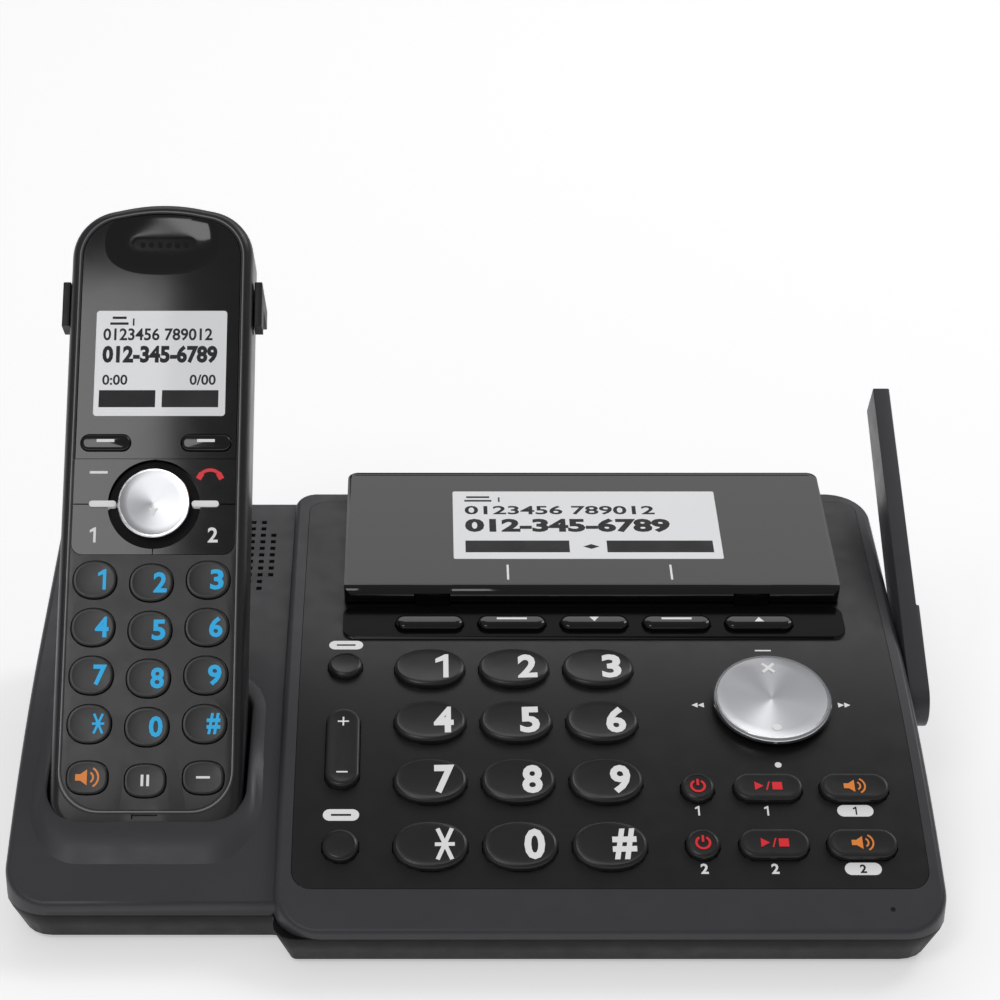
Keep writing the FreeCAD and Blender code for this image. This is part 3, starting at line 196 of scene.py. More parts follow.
def rounded(width, length, radius, centre=(0.0, 0.0), count=64):
    """Outline of a rounded rectangle: the sign of cosine and sine picks an inner corner, and the
    radius times them is the arc about it."""
    turn = (np.arange(count) + 0.5) * TAU / count

    def outline(inset):
        arc = max(radius - inset, 0.05)
        c = np.cos(turn)
        s = np.sin(turn)
        x = np.sign(c) * (width / 2 - inset - arc) + arc * c + centre[0]
        y = np.sign(s) * (length / 2 - inset - arc) + arc * s + centre[1]
        return np.c_[x, y]
    return outline


def oval(width, length, squareness=2.0, centre=(0.0, 0.0), count=72):
    """Superellipse: half-width times |cos|^(2/q) and half-length times |sin|^(2/q), with their signs."""
    turn = (np.arange(count) + 0.5) * TAU / count

    def outline(inset):
        c = np.cos(turn)
        s = np.sin(turn)
        x = np.sign(c) * np.abs(c) ** (2 / squareness) * (width / 2 - inset) + centre[0]
        y = np.sign(s) * np.abs(s) ** (2 / squareness) * (length / 2 - inset) + centre[1]
        return np.c_[x, y]
    return outline


def cornered(corners, radii, arc=14, run=6):
    """Outline of a figure with rounded corners: each arc has its centre on the corner's bisector at
    radius / sin(half its angle), and the straight runs between the arcs are divided evenly. An inset
    moves every edge in and takes as much off the radii."""
    flat = np.array(corners, float)
    back = np.roll(flat, 1, 0) - flat
    ahead = np.roll(flat, -1, 0) - flat
    back /= np.linalg.norm(back, axis=1)[:, None]
    ahead /= np.linalg.norm(ahead, axis=1)[:, None]
    half = np.arccos((back * ahead).sum(1)) / 2
    bisector = (back + ahead) / np.linalg.norm(back + ahead, axis=1)[:, None]
    start = np.arctan2(back[:, 0], -back[:, 1])
    turn = start[:, None] + (math.pi - 2 * half)[:, None] * np.linspace(0, 1, arc)
    share = np.linspace(0, 1, run + 2)[1:-1, None]

    def outline(inset):
        radius = np.maximum(np.array(radii, float) - inset, 0.3)
        centre = flat + bisector * ((radius + inset) / np.sin(half))[:, None]
        arcs = centre[:, None] + radius[:, None, None] * np.stack([np.cos(turn), np.sin(turn)], 2)
        ends = np.roll(arcs[:, 0], -1, 0)[:, None]
        runs = arcs[:, -1][:, None] * (1 - share) + ends * share
        return np.concatenate([arcs, runs], 1).reshape(-1, 2)
    return outline


def handset_shape(half, low, shoulder, top, low_radius, high_radius, crown_radius):
    """Handset outline: two lower corners, two shoulders and a low crown."""
    corners = [(-half, low), (half, low), (half, shoulder), (0, top), (-half, shoulder)]
    return cornered(corners, [low_radius, low_radius, high_radius, crown_radius, high_radius])


def lofted(outline, profile):
    """Closed surface of one outline ring over another: each profile point gives how far the outline
    is drawn in and its height, and the end rings close to their middle points.
    Returns points, faces and, corner by corner, (turn, level) coordinates."""
    rings = [np.c_[outline(inset), np.full(len(outline(inset)), height)] for inset, height in profile]
    count = len(rings[0])
    last = (len(rings) - 1) * count
    points = np.concatenate(rings + [rings[0].mean(0)[None], rings[-1].mean(0)[None]])
    i, j = np.meshgrid(np.arange(count), np.arange(len(rings) - 1))
    i = i.ravel()
    j = j.ravel()
    ahead = (i + 1) % count
    quads = np.c_[j * count + i, j * count + ahead, (j + 1) * count + ahead, (j + 1) * count + i]
    k = np.arange(count)
    ends = np.r_[np.c_[(k + 1) % count, k, np.full(count, last + count)],
                 np.c_[last + k, last + (k + 1) % count, np.full(count, last + count + 1)]]
    quad_uv = np.c_[i, j, i + 1, j, i + 1, j + 1, i, j + 1].reshape(-1, 2)
    top = len(rings) - 1.0
    flat = np.zeros(count)
    end_uv = np.r_[np.c_[k + 1, flat, k, flat, k + 0.5, flat],
                   np.c_[k, flat + top, k + 1, flat + top, k + 0.5, flat + top + 1]].reshape(-1, 2)
    uv = np.r_[quad_uv, end_uv] / np.array([count, top + 1])
    return points, quads.tolist() + ends.tolist(), uv


def slab(outline, low, high):
    """Outline as a plate between two heights."""
    return lofted(outline, [(0, low), (0, high)])


def closed_rings(rings):
    """Ring-shaped surface through equal rings, the last joined back to the first."""
    count = len(rings[0])
    i, j = np.meshgrid(np.arange(count), np.arange(len(rings)))
    i = i.ravel()
    j = j.ravel()
    ahead = (i + 1) % count
    above = (j + 1) % len(rings)
    quads = np.c_[j * count + i, j * count + ahead, above * count + ahead, above * count + i]
    return np.concatenate(rings), quads[:, ::-1].tolist(), None


def band_ring(outline, profile):
    """Ring that follows an outline: profile points as inset and height, joined round into a tube."""
    return closed_rings([np.c_[outline(inset), np.full(len(outline(inset)), height)]
                         for inset, height in profile[::-1]])


def prism(corners, low, high):
    """Flat plate on a polygon of any form, between two heights."""
    flat = np.array(corners, float)
    count = len(flat)
    points = np.r_[np.c_[flat, np.full(count, low)], np.c_[flat, np.full(count, high)]]
    k = np.arange(count)
    ahead = (k + 1) % count
    sides = np.c_[k, ahead, count + ahead, count + k].tolist()
    return points, sides + [list(range(count))[::-1], list(range(count, 2 * count))], None


def bar(x0, x1, y0, y1, low, high):
    """Box between two corners."""
    return prism([(x0, y0), (x1, y0), (x1, y1), (x0, y1)], low, high)


def ring_band(radius, width, start, end, low, high, centre=(0.0, 0.0), count=24):
    """Flat band along an arc: the outer arc one way and the inner arc back."""
    turn = np.radians(np.linspace(start, end, count))
    arc = np.c_[np.cos(turn), np.sin(turn)]
    corners = np.r_[arc * (radius + width / 2), (arc * (radius - width / 2))[::-1]] + np.array(centre)
    return prism(corners, low, high)


def glyphs(text, height, at=(0.0, 0.0), lift=0.0, bold=0.0, wide=0.0, thick=PRINT):
    """Plain figures as a thin plate: the font's outline, scaled to a height and a width, and centred."""
    curve = bpy.data.curves.new("figures", "FONT")
    curve.body = text
    curve.extrude = 0.01
    curve.offset = bold
    curve.resolution_u = 3
    holder = bpy.data.objects.new("figures", curve)
    mesh = bpy.data.meshes.new_from_object(holder)
    points = read(mesh.vertices, "co")
    faces = [list(face.vertices) for face in mesh.polygons]
    bpy.data.meshes.remove(mesh)
    bpy.data.objects.remove(holder)
    bpy.data.curves.remove(curve)
    low = points.min(0)
    high = points.max(0)
    scale = height / (high[1] - low[1])
    across = wide / (high[0] - low[0]) if wide else scale
    x = (points[:, 0] - (low[0] + high[0]) / 2) * across + at[0]
    y = (points[:, 1] - (low[1] + high[1]) / 2) * scale + at[1]
    z = np.where(points[:, 2] > 0, lift + thick, lift)
    return np.c_[x, y, z], faces, None


def moved(part, dx=0.0, dy=0.0, dz=0.0):
    """The same surface moved."""
    return part[0] + np.array([dx, dy, dz]), part[1], part[2]


def read(items, attribute, width=3, kind=float):
    """One attribute of every item of a mesh, as rows."""
    values = np.zeros(len(items) * width, kind)
    items.foreach_get(attribute, values)
    return values.reshape(-1, width) if width > 1 else values


def mesh_of(name, parts, place):
    """One mesh of several surfaces, carried to its place and scaled to metres. The part that each
    face comes from is its material number."""
    points = []
    faces = []
    numbers = []
    uvs = []
    start = 0
    for number, group in enumerate(parts):
        for part_points, part_faces, uv in group:
            points.append(part_points)
            faces += [[start + corner for corner in face] for face in part_faces]
            numbers += [number] * len(part_faces)
            corners = sum(len(face) for face in part_faces)
            uvs.append(np.zeros((corners, 2)) if uv is None else uv)
            start += len(part_points)
    mesh = bpy.data.meshes.new(name)
    mesh.from_pydata(((place(np.concatenate(points)) + DRAWING_SHIFT) * MM).tolist(), [], faces)
    mesh.polygons.foreach_set("material_index", numbers)
    mesh.uv_layers.new(name="surface").data.foreach_set("uv", np.concatenate(uvs).ravel())
    return mesh


def show(name, mesh, materials, body, nodes=(), sharp=35.0):
    """Puts a finished mesh in the scene on its body, smooth but for its sharp edges."""
    mesh.shade_smooth()
    mesh.set_sharp_from_angle(angle=math.radians(sharp))
    for material in materials:
        mesh.materials.append(MATERIALS[material])
    piece = bpy.data.objects.new(name, mesh)
    bpy.context.scene.collection.objects.link(piece)
    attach(piece, body)
    if nodes:
        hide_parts(*nodes)
    return piece


def add(name, parts, place, materials, body, nodes=(), cutters=(), sharp=35.0):
    """New piece from groups of surfaces, one group for each material, less its cutters."""
    mesh = mesh_of(name, parts, place)
    if cutters:
        mesh = carved(mesh, mesh_of(name + "_cut", [cutters], place))
    return show(name, mesh, materials, body, nodes, sharp)


def add_key(name, node, parts, place, materials):
    """New cap, with its signs, for a key."""
    return add(name, parts, place, materials, node, [node])


def add_phone(name, parts, materials, nodes=(), body="handset", cutters=(), sharp=35.0):
    """New piece in the handset's axes."""
    return add(name, parts, on_handset, materials, body, nodes, cutters, sharp)


def carved(mesh, cutter):
    """The solid of one mesh less the solid of another."""
    block = bpy.data.objects.new("block", mesh)
    tool = bpy.data.objects.new("tool", cutter)
    for piece in (block, tool):
        bpy.context.scene.collection.objects.link(piece)
    cut = block.modifiers.new("cut", "BOOLEAN")
    cut.operation = "DIFFERENCE"
    cut.solver = "EXACT"
    cut.object = tool
    cut.use_self = True
    result = bpy.data.meshes.new_from_object(block.evaluated_get(bpy.context.evaluated_depsgraph_get()))
    for piece in (block, tool):
        bpy.data.objects.remove(piece)
    result.materials.clear()
    return result


def cad_copy(node, bevel=0.0, segments=3):
    """A node's own mesh with its doubles merged and, where asked, its flat faces joined and its
    edges rounded."""
    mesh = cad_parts[node].data.copy()
    mesh.materials.clear()
    form = bmesh.new()
    form.from_mesh(mesh)
    bmesh.ops.remove_doubles(form, verts=form.verts, dist=1e-6)
    if bevel:
        bmesh.ops.dissolve_limit(form, angle_limit=math.radians(1.0), verts=form.verts, edges=form.edges)
        edges = [edge for edge in form.edges
                 if edge.is_manifold and edge.calc_face_angle() > math.radians(30)]
        bmesh.ops.bevel(form, geom=edges, offset=bevel * MM, offset_type="OFFSET", segments=segments,
                        profile=0.5, affect="EDGES", clamp_overlap=True)
    form.to_mesh(mesh)
    form.free()
    return mesh


def deck_normals(mesh, tolerance=0.02):
    """Exact normals on the faces that lie along the deck: the cylinder's radius at each corner, and
    the face's own normal elsewhere."""
    at = read(mesh.vertices, "co")[read(mesh.loops, "vertex_index", 1, int)]
    current = read(mesh.corner_normals, "vector")
    face = np.repeat(read(mesh.polygons, "normal"), read(mesh.polygons, "loop_total", 1, int), axis=0)
    y = at[:, 1] / MM - DRAWING_SHIFT[1]
    tilt = np.maximum(np.arcsin(np.clip((DECK_AXIS_Y - y) / DECK_RADIUS, -1, 1)), REAR_TILT)
    normal = np.c_[np.zeros(len(at)), -np.sin(tilt), np.cos(tilt)]
    along = np.abs((face * normal).sum(1)) > 1 - tolerance
    sign = np.sign((face * normal).sum(1))[:, None]
    mesh.normals_split_custom_set(np.where(along[:, None], normal * sign, current).tolist())


def keep(node, material):
    """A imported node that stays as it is, with its own finish."""
    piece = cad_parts[node]
    if not piece.data.materials:
        piece.data.materials.append(MATERIALS[material])
    for index in range(len(piece.material_slots)):
        piece.material_slots[index].material = MATERIALS[material]


def node_graph(name):
    """A new material with its shader and Object coordinates."""
    material = bpy.data.materials.new(name)
    material.use_nodes = True
    graph = material.node_tree
    graph.nodes.clear()
    out = graph.nodes.new("ShaderNodeOutputMaterial")
    shader = graph.nodes.new("ShaderNodeBsdfPrincipled")
    graph.links.new(shader.outputs["BSDF"], out.inputs["Surface"])
    place = graph.nodes.new("ShaderNodeTexCoord")
    MATERIALS[name] = material
    return graph, shader, place.outputs["Object"]


def feed(graph, shader, values):
    """Gives the shader's sockets their values: a plain one, or another node's output."""
    for name, value in values.items():
        if isinstance(value, bpy.types.NodeSocket):
            graph.links.new(value, shader.inputs[name])
        else:
            shader.inputs[name].default_value = value


def noise(graph, coordinates, scale, detail=3.0, stretch=(1.0, 1.0, 1.0)):
    """Noise on the given coordinates, stretched by a Mapping node."""
    mapping = graph.nodes.new("ShaderNodeMapping")
    mapping.inputs["Scale"].default_value = stretch
    graph.links.new(coordinates, mapping.inputs["Vector"])
    texture = graph.nodes.new("ShaderNodeTexNoise")
    texture.inputs["Scale"].default_value = scale
    texture.inputs["Detail"].default_value = detail
    graph.links.new(mapping.outputs["Vector"], texture.inputs["Vector"])
    return texture.outputs["Fac"]


def ramp(graph, value, low, high):
    """Value spread between two numbers."""
    spread = graph.nodes.new("ShaderNodeMapRange")
    spread.inputs["From Min"].default_value = 0.3
    spread.inputs["From Max"].default_value = 0.7
    spread.inputs["To Min"].default_value = low
    spread.inputs["To Max"].default_value = high
    graph.links.new(value, spread.inputs["Value"])
    return spread.outputs["Result"]


def tint(graph, value, colour, spread):
    """Colour that goes a little lighter and darker with a value."""
    mix = graph.nodes.new("ShaderNodeMix")
    mix.data_type = "RGBA"
    mix.inputs[6].default_value = tuple(channel * (1 - spread) for channel in colour) + (1.0,)
    mix.inputs[7].default_value = tuple(min(channel * (1 + spread), 1.0) for channel in colour) + (1.0,)
    graph.links.new(value, mix.inputs[0])
    return mix.outputs[2]


def plastic(name, colour, rough, grain=0.0, grain_scale=2500.0, spread=0.06, specular=0.5, glow=0.0):
    """Moulded plastic: colour and roughness drift slowly, and a fine grain stands as a bump. A glow, where
    given, is painted light: the plastic gives off light though it is no lamp.
    """
    graph, shader, place = node_graph(name)
    feed(graph, shader, {
        "Base Color": tint(graph, noise(graph, place, 45.0), tuple(colour), spread),
        "Roughness": ramp(graph, noise(graph, place, 160.0), rough * 0.9, rough * 1.1),
        "Specular IOR Level": specular, "Emission Color": tuple(colour) + (1.0,), "Emission Strength": glow})
    if grain:
        bump = graph.nodes.new("ShaderNodeBump")
        bump.inputs["Strength"].default_value = grain
        bump.inputs["Distance"].default_value = 0.00008
        graph.links.new(noise(graph, place, grain_scale, 2.0), bump.inputs["Height"])
        graph.links.new(bump.outputs["Normal"], shader.inputs["Normal"])


def spun_metal(name, colour, rough):
    """Silver turned on a lathe: fine rings in the finish, so that highlights fan out from the middle."""
    graph, shader, _ = node_graph(name)
    uv = graph.nodes.new("ShaderNodeUVMap")
    uv.uv_map = "surface"
    rings = noise(graph, uv.outputs["UV"], 6.0, 4.0, (0.6, 90.0, 1.0))
    tangent = graph.nodes.new("ShaderNodeTangent")
    tangent.direction_type = "UV_MAP"
    tangent.uv_map = "surface"
    feed(graph, shader, {
        "Base Color": tint(graph, rings, tuple(colour), 0.03),
        "Roughness": ramp(graph, rings, rough * 0.95, rough * 1.05),
        "Tangent": tangent.outputs["Tangent"], "Metallic": 1.0, "Anisotropic": 0.8})


def metal(name, colour, rough):
    """Plain metal with faint uneven polish."""
    graph, shader, place = node_graph(name)
    feed(graph, shader, {
        "Base Color": tint(graph, noise(graph, place, 400.0), tuple(colour), 0.08),
        "Roughness": ramp(graph, noise(graph, place, 900.0), rough * 0.8, rough * 1.2), "Metallic": 1.0})


def screen(name, colour, glow):
    """Lit liquid crystal: a pale face that gives off a little light, under a clear coat."""
    graph, shader, place = node_graph(name)
    feed(graph, shader, {
        "Base Color": tint(graph, noise(graph, place, 60.0), tuple(colour), 0.02),
        "Roughness": 0.35, "Coat Weight": 0.5, "Coat Roughness": 0.05,
        "Emission Color": tuple(colour) + (1.0,), "Emission Strength": glow})


def colour_property(name, description, default):
    """A colour that the user may change."""
    return FloatVectorProperty(name=name, description=description, default=default, size=3,
                               subtype="COLOR", min=0.0, max=1.0)


class MachineColours(bpy.types.PropertyGroup):
    """Colours of the finishes"""
    shell: colour_property("Shell", "Charcoal of the upper case", (0.056, 0.056, 0.062))
    lower: colour_property("Lower case", "Dark grey of the lower case", (0.006, 0.006, 0.0065))
    panel: colour_property("Panel", "Black of the key panel", (0.010, 0.010, 0.0105))
    key: colour_property("Keys", "Black of the key caps", (0.018, 0.018, 0.019))
    gloss: colour_property("Gloss", "Black of the display and the strip", (0.006, 0.006, 0.0065))
    handset: colour_property("Handset", "Dark grey of the handset", (0.015, 0.015, 0.0165))
    silver: colour_property("Silver", "Metal of the four-way discs", (0.66, 0.67, 0.69))
    figures: colour_property("Figures", "White of the figures on the base", (0.92, 0.92, 0.92))
    handset_figures: colour_property("Handset figures", "Blue of the handset's figures", (0.015, 0.46, 0.88))
    message: colour_property("Message signs", "Red of the message keys' signs", (0.75, 0.02, 0.03))
    speaker: colour_property("Speaker signs", "Orange of the speaker keys' signs", (0.85, 0.26, 0.04))
    screen: colour_property("Screens", "Pale face of the lit screens", (0.70, 0.71, 0.72))


class MachineSizes(bpy.types.PropertyGroup):
    """Sizes of the visible details, in millimetres"""
    key_dish: FloatProperty(name="Key dish", description="Depth of the hollow on a dial key",
                            default=0.42, min=0.0, max=1.0, precision=2)
    figure_height: FloatProperty(name="Figure height", description="Height of the figures on the dial keys",
                                 default=9.2, min=2.0, max=10.0, precision=1)
    handset_figure_height: FloatProperty(name="Handset figure height", default=5.6, min=2.0, max=8.0,
                                         description="Height of the figures on the handset's keys",
                                         precision=1)
    edge: FloatProperty(name="Edge", description="Rounding of the plain edges", default=0.35,
                        min=0.05, max=1.0, precision=2)


class MACHINE_OT_finishes(bpy.types.Operator):
    """Plastics, metals, screens and figures of the machine"""
    bl_idname = "machine.finishes"
    bl_label = "Finishes"

    def execute(self, context):
        """Makes every material."""
        colours = context.scene.machine_colours
        plastic("shell", colours.shell, 0.42, grain=0.25)
        plastic("lower", colours.lower, 0.5, grain=0.3, specular=0.25)
        plastic("panel", colours.panel, 0.36, grain=0.03)
        plastic("key", colours.key, 0.34, grain=0.04)
        plastic("gloss", colours.gloss, 0.06, spread=0.02)
        plastic("strip", colours.gloss, 0.16, spread=0.02, specular=0.05)
        plastic("handset", colours.handset, 0.34, grain=0.06)
        plastic("handset_gloss", colours.gloss, 0.08, spread=0.02)
        # The figures and signs glow: painted light, as print that gives off light though it is no lamp.
        plastic("figures", colours.figures, 0.45, spread=0.02, glow=0.22)
        plastic("blue_figures", colours.handset_figures, 0.45, spread=0.02, glow=0.3)
        plastic("message_red", colours.message, 0.4, spread=0.03, glow=0.3)
        plastic("speaker_orange", colours.speaker, 0.4, spread=0.03, glow=0.25)
        plastic("ink", (0.008, 0.008, 0.009), 0.5, spread=0.02)
        # Painted shade: a near black that stands for the shade inside holes and recesses, on the discs of the
        # microphone and earpiece holes and on the ring in the opening round the handset's disc.
        plastic("well", (0.004, 0.004, 0.004), 0.8, spread=0.02)
        # Painted highlight: a light grey band along the handset's rim that stands for the light on its
        # rounded edge.
        plastic("painted_rim_highlight", (0.20, 0.20, 0.21), 0.25, spread=0.03)
        plastic("rubber", (0.012, 0.012, 0.012), 0.85, grain=0.5, grain_scale=900.0)
        plastic("board", (0.012, 0.085, 0.03), 0.4, spread=0.2)
        plastic("socket", (0.010, 0.010, 0.010), 0.45, grain=0.1)
        plastic("wrap", (0.03, 0.07, 0.22), 0.3, spread=0.05)
        spun_metal("silver", colours.silver, 0.34)
        metal("silver_edge", colours.silver, 0.16)
        metal("screw", (0.42, 0.42, 0.43), 0.3)
        metal("contact", (0.70, 0.56, 0.26), 0.25)
        screen("screen", colours.screen, 0.36)
        return {"FINISHED"}


class MACHINE_OT_housing(bpy.types.Operator):
    """Upper shell, lower case and key panel, and the inner pieces, jacks, feet and screws"""
    bl_idname = "machine.housing"
    bl_label = "Housing"

    def execute(self, context):
        """Smooths the shells and gives the plain nodes their finishes."""
        edge = context.scene.machine_sizes.edge
        block = mesh_of("lip_cut", [[cradle_block()]], lambda points: points[:, [2, 0, 1]])
        shell = carved(cad_copy("upper_shell"), block)
        piece = show("upper_shell_skin", shell, ["shell"], "base", ["upper_shell"])
        deck_normals(piece.data)
        self.cradle_rim()
        show("lower_case_skin", cad_copy("lower_case"), ["lower"], "base", ["lower_case"])
        panel = cad_copy("key_panel")
        piece = show("key_panel_skin", panel, ["panel", "strip"], "base", ["key_panel"])
        deck_normals(piece.data)
        self.strip_faces(piece.data)
        for node, material, slot in (("main_board", "board", "board"), ("rubber_feet", "rubber", "foot"),
                                     ("case_screws", "screw", "screw"), ("loudspeaker", "socket", "speaker"),
                                     ("charge_contacts", "contact", "contact")):
            keep(node, material)
        show("jack_block_skin", cad_copy("jack_block", edge), ["socket"], "base", ["jack_block"])
        # Dark disc laid on the deck: painted shade for the microphone hole.
        add("microphone_hole", [[slab(oval(1.3, 1.3, count=24), -0.1, 0.03)]], on_deck(105.6, 6.3), ["well"],
            "base")
        return {"FINISHED"}

    def cradle_rim(self):
        """Soft lip round the handset's foot: rings further and further out, each at its share of a
        height that grows smoothly to the front, and the inner ones lean as the handset does."""
        shape = cornered(CRADLE_CORNERS, CRADLE_RADII)
        inner = shape(0.0)
        front = np.clip((-20.0 - inner[:, 1]) / 25.0, 0, 1)
        front = front * front * (3 - 2 * front)
        back = np.clip((inner[:, 1] + 10.0) / 8.0, 0, 1)
        lip = 0.6 - 0.4 * back + 3.1 * front
        wing_radius = DECK_RADIUS - WING_DROP
        rings = []
        for out, share, base, lean in CRADLE_RINGS:
            flat = inner + (shape(-out) - inner) * np.array([CRADLE_SIDE_SHARE, 1.0])
            height = share * lip + base
            ground = DECK_AXIS_Z + np.sqrt(wing_radius ** 2 - (DECK_AXIS_Y - flat[:, 1]) ** 2)
            rings.append(np.c_[flat[:, 0], flat[:, 1] + lean * height / math.tan(HANDSET_TILT),
                               ground + height])
        add("cradle_rim", [[closed_rings(rings)]], lambda points: points, ["shell"], "base")

    def strip_faces(self, mesh):
        """Gives the raised strip and the hinge lugs their own finish: the faces that lie above the deck."""
        middles = read(mesh.polygons, "center") / MM - DRAWING_SHIFT
        y = middles[:, 1]
        arc = DECK_AXIS_Z + np.sqrt(np.maximum(DECK_RADIUS ** 2 - (DECK_AXIS_Y - y) ** 2, 0))
        slope = STRAIGHT_Z + (y - STRAIGHT_Y) * math.tan(REAR_TILT)
        surface = np.where(y < STRAIGHT_Y, arc, slope)
        mesh.polygons.foreach_set("material_index", (middles[:, 2] > surface + 0.3).astype(int))
        mesh.update()


def cradle_block():
    """Block over the wing's deck round the cradle, drawn in (y, z, x): its underside follows the deck."""
    y, z, _ = deck_point(np.linspace(21.6, 89.8, 24), -WING_DROP + 0.02)
    y_high, z_high, _ = deck_point(np.linspace(89.8, 21.6, 24), 10.0)
    return prism(np.c_[np.r_[y, y_high], np.r_[z, z_high]], -117.0, -53.5)


def dished_cap(outline, half, height, dish, low=KEY_FOOT, edge=1.0):
    """Key cap: upright side, rounded edge, and a hollow whose depth goes as 1 - (r / half)^2."""
    rims = [(0.0, low), (0.0, height - 0.95 * edge), (0.12 * edge, height - 0.5 * edge),
            (0.42 * edge, height - 0.18 * edge), (0.9 * edge, height)]
    shares = np.array([0.82, 0.68, 0.52, 0.34, 0.15])
    hollow = [((1 - share) * half, height - dish * (1 - share ** 2)) for share in shares]
    return lofted(outline, rims + hollow)


def power_sign(size, lift):
    """Ring open at the top with an upright bar in it."""
    return [ring_band(size, size * 0.36, 120, 420, lift, lift + SIGN),
            bar(-size * 0.18, size * 0.18, size * 0.1, size * 1.25, lift, lift + SIGN)]


def play_stop_sign(size, lift):
    """Triangle, slash and square."""
    top = lift + SIGN
    return [prism([(-2.6 * size, -size), (-0.9 * size, 0), (-2.6 * size, size)], lift, top),
            prism([(-0.5 * size, -size), (-0.2 * size, -size), (0.4 * size, size), (0.1 * size, size)],
                  lift, top),
            bar(0.8 * size, 2.7 * size, -0.9 * size, 0.9 * size, lift, top)]


def speaker_sign(size, lift):
    """Box and horn with two arcs of sound."""
    top = lift + SIGN
    horn = [(-1.6, -0.45), (-0.9, -0.45), (0.0, -1.1), (0.0, 1.1), (-0.9, 0.45), (-1.6, 0.45)]
    return [prism([(x * size, y * size) for x, y in horn], lift, top),
            ring_band(0.75 * size, 0.26 * size, -60, 60, lift, top, (0.1 * size, 0)),
            ring_band(1.45 * size, 0.26 * size, -60, 60, lift, top, (0.1 * size, 0))]


class MACHINE_OT_dial_keys(bpy.types.Operator):
    """Twelve oval dial keys with their figures"""
    bl_idname = "machine.dial_keys"
    bl_label = "Dial keys"

    def execute(self, context):
        """Makes the keys row by row from the front."""
        sizes = context.scene.machine_sizes
        rows = [[("key_star", "*"), ("key_0", "0"), ("key_pound", "#")],
                [("key_7", "7"), ("key_8", "8"), ("key_9", "9")],
                [("key_4", "4"), ("key_5", "5"), ("key_6", "6")],
                [("key_1", "1"), ("key_2", "2"), ("key_3", "3")]]
        width, length = DIAL_KEY
        cap = dished_cap(oval(width, length, 2.15), length / 2, KEY_HEIGHT, sizes.key_dish)
        for i, row in enumerate(rows):
            for j, (name, figure) in enumerate(row):
                place = on_deck(FIRST_COLUMN_X + j * KEY_PITCH_X, BOTTOM_ROW_S + i * KEY_PITCH_S)
                add_key(name + "_cap", name, [[cap]], place, ["key"])
                self.figure(name, figure, place, sizes)
        return {"FINISHED"}

    def figure(self, name, figure, place, sizes):
        """Figure right of the key's middle, laid into the hollow."""
        tall = sizes.figure_height
        if figure == "*":
            points, faces, uv = joined(star_bars(tall * 1.06, 5.1, FIGURE_X))
        elif figure == "1":
            points, faces, uv = one_sign(tall, FIGURE_X)
        else:
            wide = 6.2 if figure == "#" else 5.3
            points, faces, uv = glyphs(figure, tall, (FIGURE_X, 0.0), 0.0, bold=0.035, wide=wide)
        width, length = DIAL_KEY
        share = np.clip((2 * points[:, 0] / width) ** 2 + (2 * points[:, 1] / length) ** 2, 0, 1)
        points[:, 2] += KEY_HEIGHT - sizes.key_dish * (1 - share) + 0.03
        add(name + "_figure", [[(points, faces, uv)]], place, ["figures"], name)


def star_bars(tall, wide, at_x, thick=PRINT):
    """Star of one level bar and two steep ones through one middle point, each a little over the last."""
    steep = math.degrees(math.atan2(tall * 0.98, wide * 0.75))
    bars = [turned_bar(wide, tall * 0.11, 0, (at_x, 0))]
    bars += [turned_bar(tall * 1.02, tall * 0.11, angle, (at_x, 0)) for angle in (steep, 180 - steep)]
    return [prism(corners, 0.0, thick + 0.004 * i) for i, corners in enumerate(bars)]


def one_sign(tall, at_x, thick=PRINT):
    """Figure one: an upright stem with a slanted flag."""
    half = tall / 2
    stem = tall * 0.155
    corners = [(0.0, -half), (stem, -half), (stem, half), (0.35 * stem, half),
               (-1.5 * stem, half - 1.15 * stem), (-1.5 * stem, half - 2.2 * stem), (0.0, half - 1.6 * stem)]
    return prism(np.array(corners) + np.array([at_x, 0.0]), 0.0, thick)


def joined(parts):
    """Several plates as one surface."""
    points = np.concatenate([part[0] for part in parts])
    starts = np.cumsum([0] + [len(part[0]) for part in parts])
    faces = [[start + corner for corner in face] for start, part in zip(starts, parts) for face in part[1]]
    return points, faces, None


